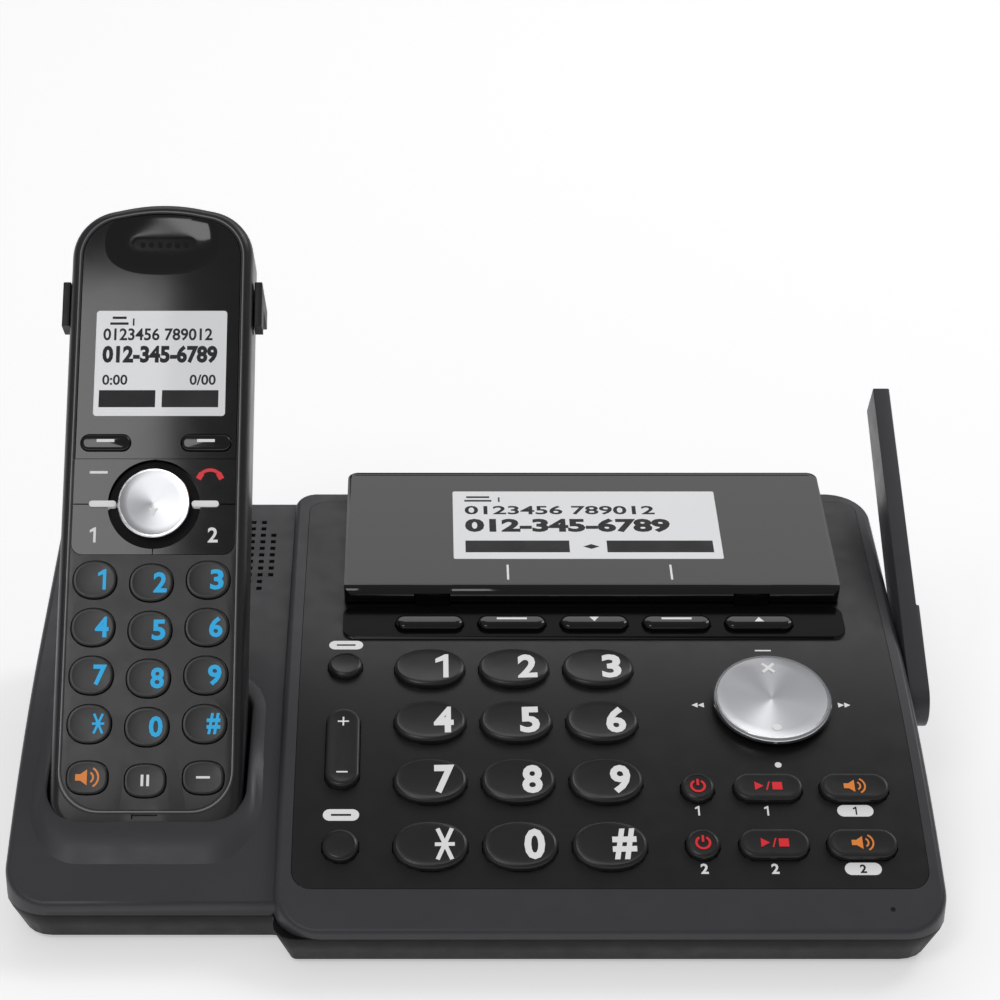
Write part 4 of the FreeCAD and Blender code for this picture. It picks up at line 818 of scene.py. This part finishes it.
class MACHINE_OT_small_keys(bpy.types.Operator):
    """Hold, flash, volume, message and line keys with plain signs"""
    bl_idname = "machine.small_keys"
    bl_label = "Small keys"

    def execute(self, context):
        """Makes the keys and their signs."""
        round_cap = dished_cap(oval(9.4, 9.4, count=48), 4.7, KEY_HEIGHT, 0.5)
        for name, s in (("hold_key", HOLD_S), ("flash_key", BOTTOM_ROW_S)):
            add_key(name + "_cap", name, [[round_cap]], on_deck(LEFT_KEY_X, s), ["key"])
        outline = rounded(9.0, 26.5, 4.5)
        profile = [(0, KEY_FOOT), (0, 1.2), (0.12, 1.5), (0.4, 1.72), (0.9, 1.8), (1.5, 1.72), (2.2, 1.6),
                   (3.4, 1.5)]
        volume = [[lofted(outline, profile)],
                  [bar(-1.5, 1.5, -8.9, -8.45, 1.5, 1.58), bar(-1.5, 1.5, 8.45, 8.9, 1.5, 1.58),
                   bar(-0.22, 0.22, 7.2, 10.2, 1.5, 1.58)]]
        add_key("volume_cap", "volume_rocker", volume, on_deck(LEFT_KEY_X, VOLUME_S), ["key", "figures"])
        small_cap = dished_cap(oval(8.8, 8.8, count=48), 4.4, KEY_HEIGHT, 0.35)
        pill = rounded(18.0, 8.6, 4.3)
        pill_cap = lofted(pill, [(0, KEY_FOOT), (0, 1.1), (0.12, 1.45), (0.4, 1.7), (0.8, 1.8), (1.4, 1.72),
                                 (2.6, 1.6)])
        for number, s in enumerate(MESSAGE_ROWS_S, 1):
            keys = (("answer_on_key_%d", ROUND_KEY_X, small_cap, power_sign(1.75, 1.62), "message_red"),
                    ("mailbox_key_%d", MAILBOX_X, pill_cap, play_stop_sign(1.35, 1.62), "message_red"),
                    ("line_key_%d", LINE_X, pill_cap, speaker_sign(1.75, 1.62), "speaker_orange"))
            for name, x, cap, sign, colour in keys:
                node = name % number
                add_key(node + "_cap", node, [[cap], [moved(part, dz=0.02) for part in sign]], on_deck(x, s),
                        ["key", colour])
        return {"FINISHED"}


class MACHINE_OT_soft_keys(bpy.types.Operator):
    """Five glossy keys on the strip below the display"""
    bl_idname = "machine.soft_keys"
    bl_label = "Soft keys"

    def execute(self, context):
        """Makes the keys with dashes on the second and fourth, and arrows on the third and fifth."""
        top = KEY_HEIGHT + STRIP_LIFT
        outline = rounded(19.0, 5.6, 2.8)
        profile = [(0, KEY_FOOT), (0, top - 1.1), (0.15, top - 0.6), (0.55, top - 0.22), (1.2, top - 0.04),
                   (2.0, top)]
        dash = [bar(-4.2, 4.2, 0.1, 0.9, top - 0.02, top + 0.03)]
        arrow = [(-1.3, 1.2), (0.0, -0.7), (1.3, 1.2)]
        down = [prism(arrow[::-1], top - 0.02, top + 0.03)]
        up = [prism([(x, -y + 0.4) for x, y in arrow], top - 0.02, top + 0.03)]
        for i, signs in enumerate(([], dash, down, dash, up)):
            name = "soft_key_%d" % (i + 1)
            parts = [[lofted(outline, profile)]] + ([signs] if signs else [])
            add_key(name + "_cap", name, parts, on_deck(FIRST_COLUMN_X + i * KEY_PITCH_X, SOFT_KEY_S),
                    ["handset_gloss", "figures"][:len(parts)])
        return {"FINISHED"}


class MACHINE_OT_labels(bpy.types.Operator):
    """White pills, figures, arrows, a dash and a dot printed on the key panel"""
    bl_idname = "machine.labels"
    bl_label = "Labels"

    def execute(self, context):
        """Places each label by its measured point on the deck."""
        pill = rounded(9.4, 3.6, 1.8, count=32)
        for name, x, s, mark in (("hold", LEFT_KEY_X, 95.2, "-"), ("flash", LEFT_KEY_X, 34.2, "-"),
                                 ("line_1", 99.4, 35.5, "1"), ("line_2", 99.4, 17.9, "2")):
            sign = bar(-2.6, 2.6, -0.3, 0.3, PRINT, PRINT + FILM) if mark == "-" else self.number(mark, 2.5)
            self.label(name, x, s, [slab(pill, -0.1, PRINT)], [sign])
        for name, x, s, figure in (("answer_1", 58.6, 35.5, "1"), ("answer_2", 59.0, 17.9, "2"),
                                   ("mailbox_1", 76.5, 35.5, "1"), ("mailbox_2", 77.0, 17.9, "2")):
            self.label(name, x, s, [self.number(figure, 3.0)])
        arrow = [(-1.0, -0.9), (0.6, 0.0), (-1.0, 0.9)]
        twice = [prism([(x + d, y) for x, y in arrow], 0.0, PRINT) for d in (-0.8, 0.9)]
        back = [prism([(-x + d, y) for x, y in arrow][::-1], 0.0, PRINT) for d in (-0.8, 0.9)]
        self.label("forward", 101.1, 71.5, twice)
        self.label("back", 61.2, 71.5, back)
        self.label("above_disc", 81.3, 92.9, [bar(-2.2, 2.2, -0.25, 0.25, 0.0, PRINT)])
        self.label("below_disc", 80.9, 50.4, [slab(oval(1.8, 1.8, count=24), 0, PRINT)])
        return {"FINISHED"}

    def label(self, name, x, s, *parts):
        """White print at a point of the deck, and dark print on it."""
        add("label_" + name, list(parts), on_deck(x, s), ["figures", "ink"][:len(parts)], "base")

    def number(self, figure, tall):
        """Line number one or two, just over the panel."""
        if figure == "1":
            return moved(one_sign(tall, 0.0), dz=SIGN)
        return glyphs(figure, tall, lift=SIGN, bold=0.03)


class MACHINE_OT_disc(bpy.types.Operator):
    """Silver four-way disc of the base"""
    bl_idname = "machine.disc"
    bl_label = "Four-way disc"

    def execute(self, context):
        """Turned plate with a shallow cone, a bright edge, a cross and a dot."""
        high = DISC_LIFT + DISC_THICKNESS
        radius = DISC_DIAMETER / 2
        ring = oval(DISC_DIAMETER, DISC_DIAMETER, count=128)
        face = lofted(ring, [(1.2, high - 1.3), (1.2, high - 0.08)] +
                      [(radius - r, high - 0.12 - 0.78 * (1 - r / 14.6))
                       for r in (14.6, 12, 9, 6, 3, 1, 0.1)])
        rim = lofted(ring, [(5.0, DISC_LIFT), (0.0, DISC_LIFT + 0.8), (0.0, high - 0.9), (0.25, high - 0.35),
                            (0.7, high), (1.25, high - 0.05), (1.5, high - 0.3), (1.6, high - 1.4)])
        cross = [prism(turned_bar(4.4, 0.75, angle, (0, 10.9)), high - 0.9, high - 0.14 + angle * 0.0001)
                 for angle in (45, 135)]
        dot = [slab(oval(2.4, 2.4, centre=(0, -11.2), count=24), high - 0.9, high - 0.14)]
        add("disc_face", [[face], [rim], cross + dot], on_deck(DISC_X, DISC_S),
            ["silver", "silver_edge", "figures"], "disc_cap", ["disc_cap"])
        keep("disc_carrier", "socket")
        return {"FINISHED"}


def turned_bar(length, width, angle, centre):
    """Corners of a bar turned about its middle."""
    c = math.cos(math.radians(angle))
    s = math.sin(math.radians(angle))
    corners = [(x * length / 2, y * width / 2) for x, y in ((-1, -1), (1, -1), (1, 1), (-1, 1))]
    return [(x * c - y * s + centre[0], x * s + y * c + centre[1]) for x, y in corners]


def screen_signs(top, bars, texts):
    """Figures of a lit screen: dark bars, and lines of (figures, height, place, boldness, width)."""
    lines = [glyphs(text, tall, at, top, bold, wide, FILM) for text, tall, at, bold, wide in texts]
    return [bar(*edges, top, top + FILM) for edges in bars] + lines


class MACHINE_OT_display(bpy.types.Operator):
    """Tilting display with its window and screen"""
    bl_idname = "machine.display"
    bl_label = "Display"

    def execute(self, context):
        """Housing, glossy window, lit screen and the two ticks above the soft keys."""
        width = DISPLAY_RIGHT - DISPLAY_LEFT
        centre = ((DISPLAY_LEFT + DISPLAY_RIGHT) / 2, DISPLAY_LENGTH / 2 - DISPLAY_HALF)
        top = DISPLAY_HALF
        show("display_case_skin", cad_copy("display_case", 0.3), ["gloss"], "display",
             ["display_case"])
        length = DISPLAY_LENGTH - 4.6
        window = rounded(width - 1.6, length, 1.8, (centre[0], centre[1] + 0.9), 48)
        add("display_window_pane", [[lofted(window, [(0, top - 1.3), (0, top - 0.1), (0.12, top + 0.02)])]],
            on_display, ["gloss"], "display", ["display_window"])
        turn = np.radians(np.linspace(80, 150, 16))
        arc = np.c_[np.cos(turn), np.sin(turn)]
        curve = np.r_[arc * DISPLAY_HALF, (arc * (DISPLAY_HALF - 0.25))[::-1]]
        nose = [prism(curve, x - 5.6, x + 5.6) for x in LUG_X]
        add("display_nose", [nose], lambda points: on_display(points[:, [2, 0, 1]]), ["gloss"], "display")
        face = top + FACE_LIFT
        diamond = prism([(33.6, 17.5), (35.9, 16.4), (38.2, 17.5), (35.9, 18.6)], face, face + FILM)
        signs = screen_signs(face, ((0.2, 7.0, 41.0, 41.8), (-0.35, 7.6, 39.2, 40.0),
                                    (-0.35, 29.6, 14.8, 20.3), (40.4, 71.0, 14.8, 20.3)),
                             (("1", 2.2, (9.8, 40.2), 0.03, 0.0),
                              ("0123456 789012", 4.2, (27.5, 35.0), 0.02, 55.7),
                              ("012-345-6789", 6.6, (29.5, 27.6), 0.045, 59.7)))
        add("display_screen", [[slab(rounded(77.3, 32.5, 0.6, (34.85, 28.0), 32), top - 1.0, face)],
                               signs + [diamond]],
            on_display, ["screen", "ink"], "display", ["display_lcd"])
        ticks = [bar(x - 0.3, x + 0.3, 2.2, 9.0, top + 0.03, top + 0.07) for x in (11.5, 57.9)]
        add("display_ticks", [ticks], on_display, ["figures"], "display")
        return {"FINISHED"}


class MACHINE_OT_antenna(bpy.types.Operator):
    """Flat antenna on the right side"""
    bl_idname = "machine.antenna"
    bl_label = "Antenna"

    def execute(self, context):
        """Rounds the blade's edges."""
        show("antenna_skin", cad_copy("antenna", 1.6, 5), ["shell"], "antenna", ["antenna"])
        return {"FINISHED"}


def key_centres(row):
    """Centres of three handset keys in a row, the middle one a little lower."""
    v = NUMBER_TOP_V - row * NUMBER_PITCH[1] if row < 4 else FUNCTION_V
    return [(-NUMBER_PITCH[0], v), (0.0, v - MIDDLE_DROP), (NUMBER_PITCH[0], v)]


def handset_wells():
    """Openings round every handset key, as cutters."""
    cutters = []
    for row in range(5):
        size = (12.1, 10.9) if row < 4 else (11.3, 9.3)
        cutters += [slab(oval(*size, 2.2 if row < 4 else 2.6, centre, 48), *WELL_DEPTHS)
                    for centre in key_centres(row)]
    for u in (-SOFT_KEY_U, SOFT_KEY_U):
        cutters.append(slab(rounded(13.9, 5.1, 2.5, (u, SOFT_KEY_V), 48), *WELL_DEPTHS))
    return cutters


class MACHINE_OT_handset_body(bpy.types.Operator):
    """Front and back of the handset, faceplate, earpiece, battery door and belt clip"""
    bl_idname = "machine.handset_body"
    bl_label = "Handset body"

    def execute(self, context):
        """Front shell with a rounded rim, then the glossy faceplate and the plain pieces."""
        edge = context.scene.machine_sizes.edge
        outline = handset_shape(HANDSET_HALF, HANDSET_LOW, HANDSET_SHOULDER, HANDSET_TOP, 9.0, 14.0,
                                CROWN_RADIUS)
        rim = [(0.0, -11.0), (0.0, -3.6), (0.25, -2.4), (0.8, -1.35), (1.5, -0.6), (2.3, -0.15), (3.0, 0.0)]
        plate = handset_shape(FACEPLATE_HALF, FACEPLATE_LOW, 164.0, 168.6, 3.0, 11.5, CROWN_RADIUS)
        seat = lofted(plate, [(-0.12, -2.6), (-0.12, 2.0)])
        slot = bar(-3.4, 3.4, -1.9, -0.7, -1.0, 2.0)
        add_phone("handset_front_shell", [[lofted(outline, rim)]], ["handset"], ["handset_front"],
                  cutters=handset_wells() + [seat, slot])
        dish = lofted(oval(32.0, 19.6, 2.5, (0.0, EAR_V), 72),
                      [(6.5, -1.15), (4.5, -1.08), (2.6, -0.8), (1.2, -0.42), (0.4, -0.14), (0.0, 0.08),
                       (0.0, 2.0)])
        ear = lofted(rounded(17.8, 3.8, 1.9, (0.4, EAR_V), 48), [(0.3, -1.75), (0, -1.6), (0, 0.5)])
        face = lofted(plate, [(0, -2.5), (0, FACE_LIFT - 0.14), (0.14, FACE_LIFT)])
        below = bar(-25, 25, 60.0, NAV_ZONE_TOP + 0.15, -3.0, 2.0)
        add_phone("handset_face", [[face]], ["handset_gloss"], ["handset_faceplate"],
                  cutters=[dish, ear, below] + handset_wells()[-2:], sharp=12.0)
        # Dark discs in the earpiece slot and a dark ring in the opening round the disc: painted shade for the
        # holes and the recess.
        holes = [slab(oval(1.4, 1.6, centre=(-5.6 + 2.4 * i, 158.9), count=20), -1.8, -1.7)
                 for i in range(6)]
        well = oval(24.4, 24.4, 2.0, (0.0, NAV_V), 64)
        holes.append(band_ring(well, [(0.0, -2.55), (0.0, -1.4), (3.0, -1.4), (3.0, -2.55)]))
        add_phone("earpiece_holes", [holes], ["well"])
        # Three lines along the rim: dark ink lines for the two grooves, and between them a painted highlight,
        # a light grey band for the light along the rounded rim.
        rim_lines = [(23.2, -0.6, 165.2, 169.9, 0.35, "ink"), (22.8, -0.2, 164.8, 169.5, 0.4, "painted_rim_highlight"),
                 (22.3, 0.3, 164.3, 169.0, 0.3, "ink")]
        for i, (half, low, shoulder, top, wide, material) in enumerate(rim_lines):
            line = [(0.0, -0.2), (0.0, 0.02), (wide / 2, 0.05), (wide, 0.02), (wide, -0.2)]
            shape = handset_shape(half, low, shoulder, top, 11.0, 12.2, CROWN_RADIUS)
            add_phone("handset_rim_line_%d" % (i + 1), [[band_ring(shape, line)]], [material])
        show("handset_back_shell", cad_copy("handset_back"), ["handset"], "handset",
             ["handset_back"])
        show("battery_cover", cad_copy("battery_door", 0.2), ["handset"], "battery_door",
             ["battery_door"])
        cuts = []
        for side in (-1, 1):
            near, far = sorted((side * 20.0, side * 29.0))
            cuts += [bar(near, far, 131.0, 143.5, -30.0, -11.5), bar(near, far, 131.0, 136.0, -11.6, -3.0)]
        clip = carved(cad_copy("belt_clip", edge), mesh_of("clip_cut", [cuts], on_handset))
        show("belt_clip_skin", clip, ["ink"], "handset", ["belt_clip"])
        keep("battery_pack", "wrap")
        keep("handset_board", "board")
        return {"FINISHED"}


class MACHINE_OT_handset_screen(bpy.types.Operator):
    """Lit screen of the handset with plain figures"""
    bl_idname = "machine.handset_screen"
    bl_label = "Handset screen"

    def execute(self, context):
        """A pale plate with lines of plain figures and dark bars."""
        top = 0.08
        plate = slab(rounded(35.9, 30.5, 0.9, (0.55, 123.45), 32), -0.9, top)
        signs = screen_signs(top, ((-13.0, -9.2, 136.3, 137.0), (-13.6, -8.6, 134.6, 135.3),
                                   (-16.0, -0.6, 110.7, 115.6), (1.2, 16.6, 110.7, 115.6)),
                             (("1", 2.1, (-7.2, 135.4), 0.03, 0.0),
                              ("0123456 789012", 3.6, (-0.4, 131.8), 0.02, 30.0),
                              ("012-345-6789", 5.2, (0.3, 126.0), 0.045, 31.5),
                              ("0:00", 3.0, (-11.8, 118.6), 0.02, 0.0),
                              ("0/00", 3.0, (12.2, 118.6), 0.02, 0.0)))
        add_phone("handset_screen", [[plate], signs], ["screen", "ink"])
        return {"FINISHED"}


class MACHINE_OT_handset_keys(bpy.types.Operator):
    """Keys of the handset with blue figures and plain signs, and its silver disc"""
    bl_idname = "machine.handset_keys"
    bl_label = "Handset keys"

    def execute(self, context):
        """Number rows, function row, the two keys under the screen, the corner keys and the disc."""
        tall = context.scene.machine_sizes.handset_figure_height
        rows = (("handset_keys_123", "123"), ("handset_keys_456", "456"), ("handset_keys_789", "789"),
                ("handset_keys_star_0_pound", "*0#"))
        for row, (node, figures) in enumerate(rows):
            caps = []
            signs = []
            for (u, v), figure in zip(key_centres(row), figures):
                caps.append(self.cap(oval(11.6, 10.4, 2.2, count=56), 5.2, 0.22, u, v))
                sign = glyphs(figure, tall, (2.4, 0.0), HANDSET_SIGN, bold=0.03, wide=3.6)
                if figure == "*":
                    sign = moved(joined(star_bars(tall, 3.2, 2.4)), dz=HANDSET_SIGN)
                elif figure == "1":
                    sign = moved(one_sign(tall, 2.2), dz=HANDSET_SIGN)
                signs.append(moved(sign, u, v))
            add_key(node + "_caps", node, [caps, signs], on_handset, ["handset", "blue_figures"])
        left, middle, right = key_centres(4)
        caps = [self.cap(oval(10.8, 8.8, 2.6, count=56), 4.4, 0.15, u, v) for u, v in key_centres(4)]
        pause = [moved(bar(x, x + 0.7, -1.5, 1.5, 0.8, 0.87), *middle) for x in (-1.1, 0.4)]
        dash = moved(bar(-1.8, 1.8, -0.3, 0.3, 0.8, 0.87), *right)
        speaker = [moved(part, *left) for part in speaker_sign(1.9, 0.82)]
        add_key("handset_function_caps", "handset_function_keys", [caps, pause + [dash], speaker], on_handset,
                ["handset", "figures", "speaker_orange"])
        profile = [(0, HANDSET_KEY_FOOT), (0, 0.3), (0.12, 0.6), (0.45, 0.82), (1.0, HANDSET_KEY_TOP)]
        sides = (-SOFT_KEY_U, SOFT_KEY_U)
        caps = [lofted(rounded(13.4, 4.6, 2.25, (u, SOFT_KEY_V), 48), profile) for u in sides]
        signs = [bar(u - 2.4, u + 2.4, SOFT_KEY_V, 101.3, 0.89, 0.95) for u in sides]
        add_key("handset_soft_caps", "handset_soft_keys", [caps, signs], on_handset,
                ["handset_gloss", "figures"])
        self.corner_keys()
        self.disc()
        return {"FINISHED"}

    def cap(self, outline, half, dish, u, v):
        """Low cap of the handset with a narrow rounded edge."""
        return moved(dished_cap(outline, half, HANDSET_KEY_TOP, dish, HANDSET_KEY_FOOT, 0.4), u, v)

    def corner_keys(self):
        """Four flush plates round the disc, each less the disc's ring, with plain signs."""
        top = FACE_LIFT
        turn = np.radians(np.linspace(0.7, 89.3, 24))
        arc = NAV_RING * np.c_[np.cos(turn), np.sin(turn)]
        foot = 3.0
        bend = np.radians(np.linspace(0, 90, 8))
        receiver = [moved(part, 14.9, NAV_V + 8.6) for part in
                    (ring_band(3.4, 0.9, 35, 145, top, top + SIGN, (0.0, -2.4)),
                     prism(turned_bar(1.9, 1.5, -60, (2.7, -0.7)), top, top + PRINT),
                     prism(turned_bar(1.9, 1.5, 60, (-2.7, -0.7)), top, top + PRINT))]
        dash = bar(-17.6, -12.8, NAV_V + 8.6, NAV_V + 9.3, top, top + SIGN)
        one = moved(one_sign(4.2, -16.0), 0, NAV_V - 8.6, top)
        two = glyphs("2", 4.2, (16.0, NAV_V - 8.6), top, bold=0.02)
        keys = (("handset_redial_key", -1, 1, [dash], "figures"),
                ("handset_off_key", 1, 1, receiver, "message_red"),
                ("handset_line_1_key", -1, -1, [one], "figures"),
                ("handset_line_2_key", 1, -1, [two], "figures"))
        for node, side, up, sign, colour in keys:
            if up > 0:
                outer = np.array([(0.15, NAV_ZONE_TOP - NAV_V), (FACEPLATE_HALF, NAV_ZONE_TOP - NAV_V),
                                  (FACEPLATE_HALF, 0.15)])
            else:
                high = NAV_V - FACEPLATE_LOW
                round_corner = np.c_[FACEPLATE_HALF - foot + foot * np.sin(bend),
                                     high - foot + foot * np.cos(bend)]
                outer = np.r_[[(0.15, high)], round_corner, [(FACEPLATE_HALF, 0.15)]]
            corners = np.r_[arc, outer][::-1] * np.array([side, up])
            if side * up < 0:
                corners = corners[::-1]
            plate = prism(corners + np.array([0.0, NAV_V]), -1.2, top)
            add_key(node + "_cap", node, [[plate], sign], on_handset, ["handset_gloss", colour])

    def disc(self):
        """Turned disc with a shallow cone and two white wings."""
        ring = oval(NAV_DIAMETER, NAV_DIAMETER, 2.0, (0.0, NAV_V), 96)
        radius = NAV_DIAMETER / 2
        low = NAV_LIFT
        high = low + NAV_THICKNESS
        face = lofted(ring, [(0.6, high - 0.6), (0.6, high - 0.04)] +
                      [(radius - r, high - 0.06 - 0.35 * (1 - r / 9.0)) for r in (9.0, 7, 5, 3, 1, 0.1)])
        rim = lofted(ring, [(3.7, low), (0.0, low + 0.5), (0.0, high - 0.3), (0.25, high), (0.7, high - 0.02),
                            (0.9, high - 0.2), (1.0, high - 0.7)])
        arrow = prism([(1.2, NAV_V - 1.6), (0.0, NAV_V - 3.8), (-1.2, NAV_V - 1.6)], high - 0.5, high - 0.15)
        add_phone("nav_face", [[face], [rim], [arrow]], ["silver", "silver_edge", "figures"], ["nav_cap"],
                  "nav_cap")
        keep("nav_carrier", "socket")
        wings = [lofted(rounded(7.3, 1.7, 0.85, (side * 13.8, NAV_V), 32), [(0, -2.5), (0, 0.6), (0.2, 0.7)])
                 for side in (-1, 1)]
        add_phone("handset_wings", [wings], ["figures"])


class MACHINE_OT_stage(bpy.types.Operator):
    """Pale floor, soft lamps and the camera at the photo's place"""
    bl_idname = "machine.stage"
    bl_label = "Stage"

    def execute(self, context):
        """Floor that glows for the rays that are seen, grey world, lamps and camera."""
        scene = context.scene
        graph, shader, place = node_graph("floor")
        rays = graph.nodes.new("ShaderNodeLightPath")
        seen = rays.outputs["Is Camera Ray"]
        for name in ("Is Glossy Ray", "Is Transmission Ray"):
            add_up = graph.nodes.new("ShaderNodeMath")
            graph.links.new(seen, add_up.inputs[0])
            graph.links.new(rays.outputs[name], add_up.inputs[1])
            seen = add_up.outputs[0]
        glow = graph.nodes.new("ShaderNodeMath")
        glow.operation = "MULTIPLY"
        glow.inputs[1].default_value = FLOOR_GLOW
        graph.links.new(seen, glow.inputs[0])
        feed(graph, shader, {
            "Base Color": tint(graph, noise(graph, place, 3.0), (0.93, 0.93, 0.93), 0.004),
            "Roughness": 0.7, "Specular IOR Level": 0.2, "Emission Color": (1.0, 1.0, 1.0, 1.0),
            "Emission Strength": glow.outputs[0]})
        mesh = bpy.data.meshes.new("floor")
        reach = 6.0
        mesh.from_pydata([(-reach, -reach, 0), (reach, -reach, 0), (reach, reach, 0), (-reach, reach, 0)], [],
                         [(0, 1, 2, 3)])
        mesh.materials.append(MATERIALS["floor"])
        floor = bpy.data.objects.new("floor", mesh)
        scene.collection.objects.link(floor)
        world = bpy.data.worlds.new("studio")
        world.use_nodes = True
        world.node_tree.nodes["Background"].inputs["Color"].default_value = (0.62, 0.62, 0.63, 1.0)
        world.node_tree.nodes["Background"].inputs["Strength"].default_value = 0.42
        scene.world = world
        for name, values in LAMPS.items():
            self.lamp(name, *values)
        self.camera(scene)
        scene.view_settings.view_transform = "Standard"
        return {"FINISHED"}

    def lamp(self, name, at, towards, width, length, watts):
        """Soft rectangular lamp that faces a point."""
        light = bpy.data.lights.new(name, "AREA")
        light.shape = "RECTANGLE"
        light.size = width
        light.size_y = length
        light.energy = watts
        holder = bpy.data.objects.new(name, light)
        bpy.context.scene.collection.objects.link(holder)
        holder.location = at
        direction = np.array(towards) - np.array(at)
        pitch = math.acos(-direction[2] / np.linalg.norm(direction))
        yaw = math.atan2(direction[1], direction[0]) - math.pi / 2
        holder.rotation_euler = (pitch, 0.0, yaw)

    def camera(self, scene):
        """Camera whose focal length in photo pixels is 2450 and whose principal point is 80 pixels
        left of the middle."""
        focal_px = 2450.0
        picture = 1000.0
        principal_x = 420.0
        sensor = 36.0
        data = bpy.data.cameras.new("camera")
        data.sensor_width = sensor
        data.sensor_fit = "HORIZONTAL"
        data.lens = focal_px * sensor / picture
        data.shift_x = (picture / 2 - principal_x) / picture
        data.clip_start = 0.05
        holder = bpy.data.objects.new("camera", data)
        scene.collection.objects.link(holder)
        holder.location = tuple((np.array([-13.45, -576.4, 387.5]) + DRAWING_SHIFT) * MM)
        holder.rotation_euler = (math.radians(90.0 - 27.0), 0.0, 0.0)
        scene.camera = holder


OPERATORS = (MACHINE_OT_finishes, MACHINE_OT_housing, MACHINE_OT_dial_keys, MACHINE_OT_small_keys,
             MACHINE_OT_soft_keys, MACHINE_OT_labels, MACHINE_OT_disc, MACHINE_OT_display, MACHINE_OT_antenna,
             MACHINE_OT_handset_body, MACHINE_OT_handset_screen, MACHINE_OT_handset_keys, MACHINE_OT_stage)


class MACHINE_PT_sidebar(bpy.types.Panel):
    """Lists the machine's pieces and their settings"""
    bl_idname = "MACHINE_PT_sidebar"
    bl_label = "Answering machine"
    bl_space_type = "VIEW_3D"
    bl_region_type = "UI"
    bl_category = "Machine"

    def draw(self, context):
        """Settings first, then one button for each piece."""
        for group in (context.scene.machine_colours, context.scene.machine_sizes):
            for name in group.bl_rna.properties.keys():
                if name not in ("rna_type", "name"):
                    self.layout.prop(group, name)
        for operator in OPERATORS:
            self.layout.operator(operator.bl_idname)


CLASSES = (MachineColours, MachineSizes) + OPERATORS + (MACHINE_PT_sidebar,)


def register():
    """Registers the classes and the scene's settings."""
    for cls in CLASSES:
        bpy.utils.register_class(cls)
    bpy.types.Scene.machine_colours = PointerProperty(type=MachineColours)
    bpy.types.Scene.machine_sizes = PointerProperty(type=MachineSizes)


def unregister():
    """Takes the settings and the classes out again."""
    del bpy.types.Scene.machine_sizes
    del bpy.types.Scene.machine_colours
    for cls in reversed(CLASSES):
        bpy.utils.unregister_class(cls)


def main():
    """Builds every piece in order."""
    register()
    for operator in OPERATORS:
        group, name = operator.bl_idname.split(".")
        getattr(getattr(bpy.ops, group), name)()


if __name__ == "__main__":
    main()
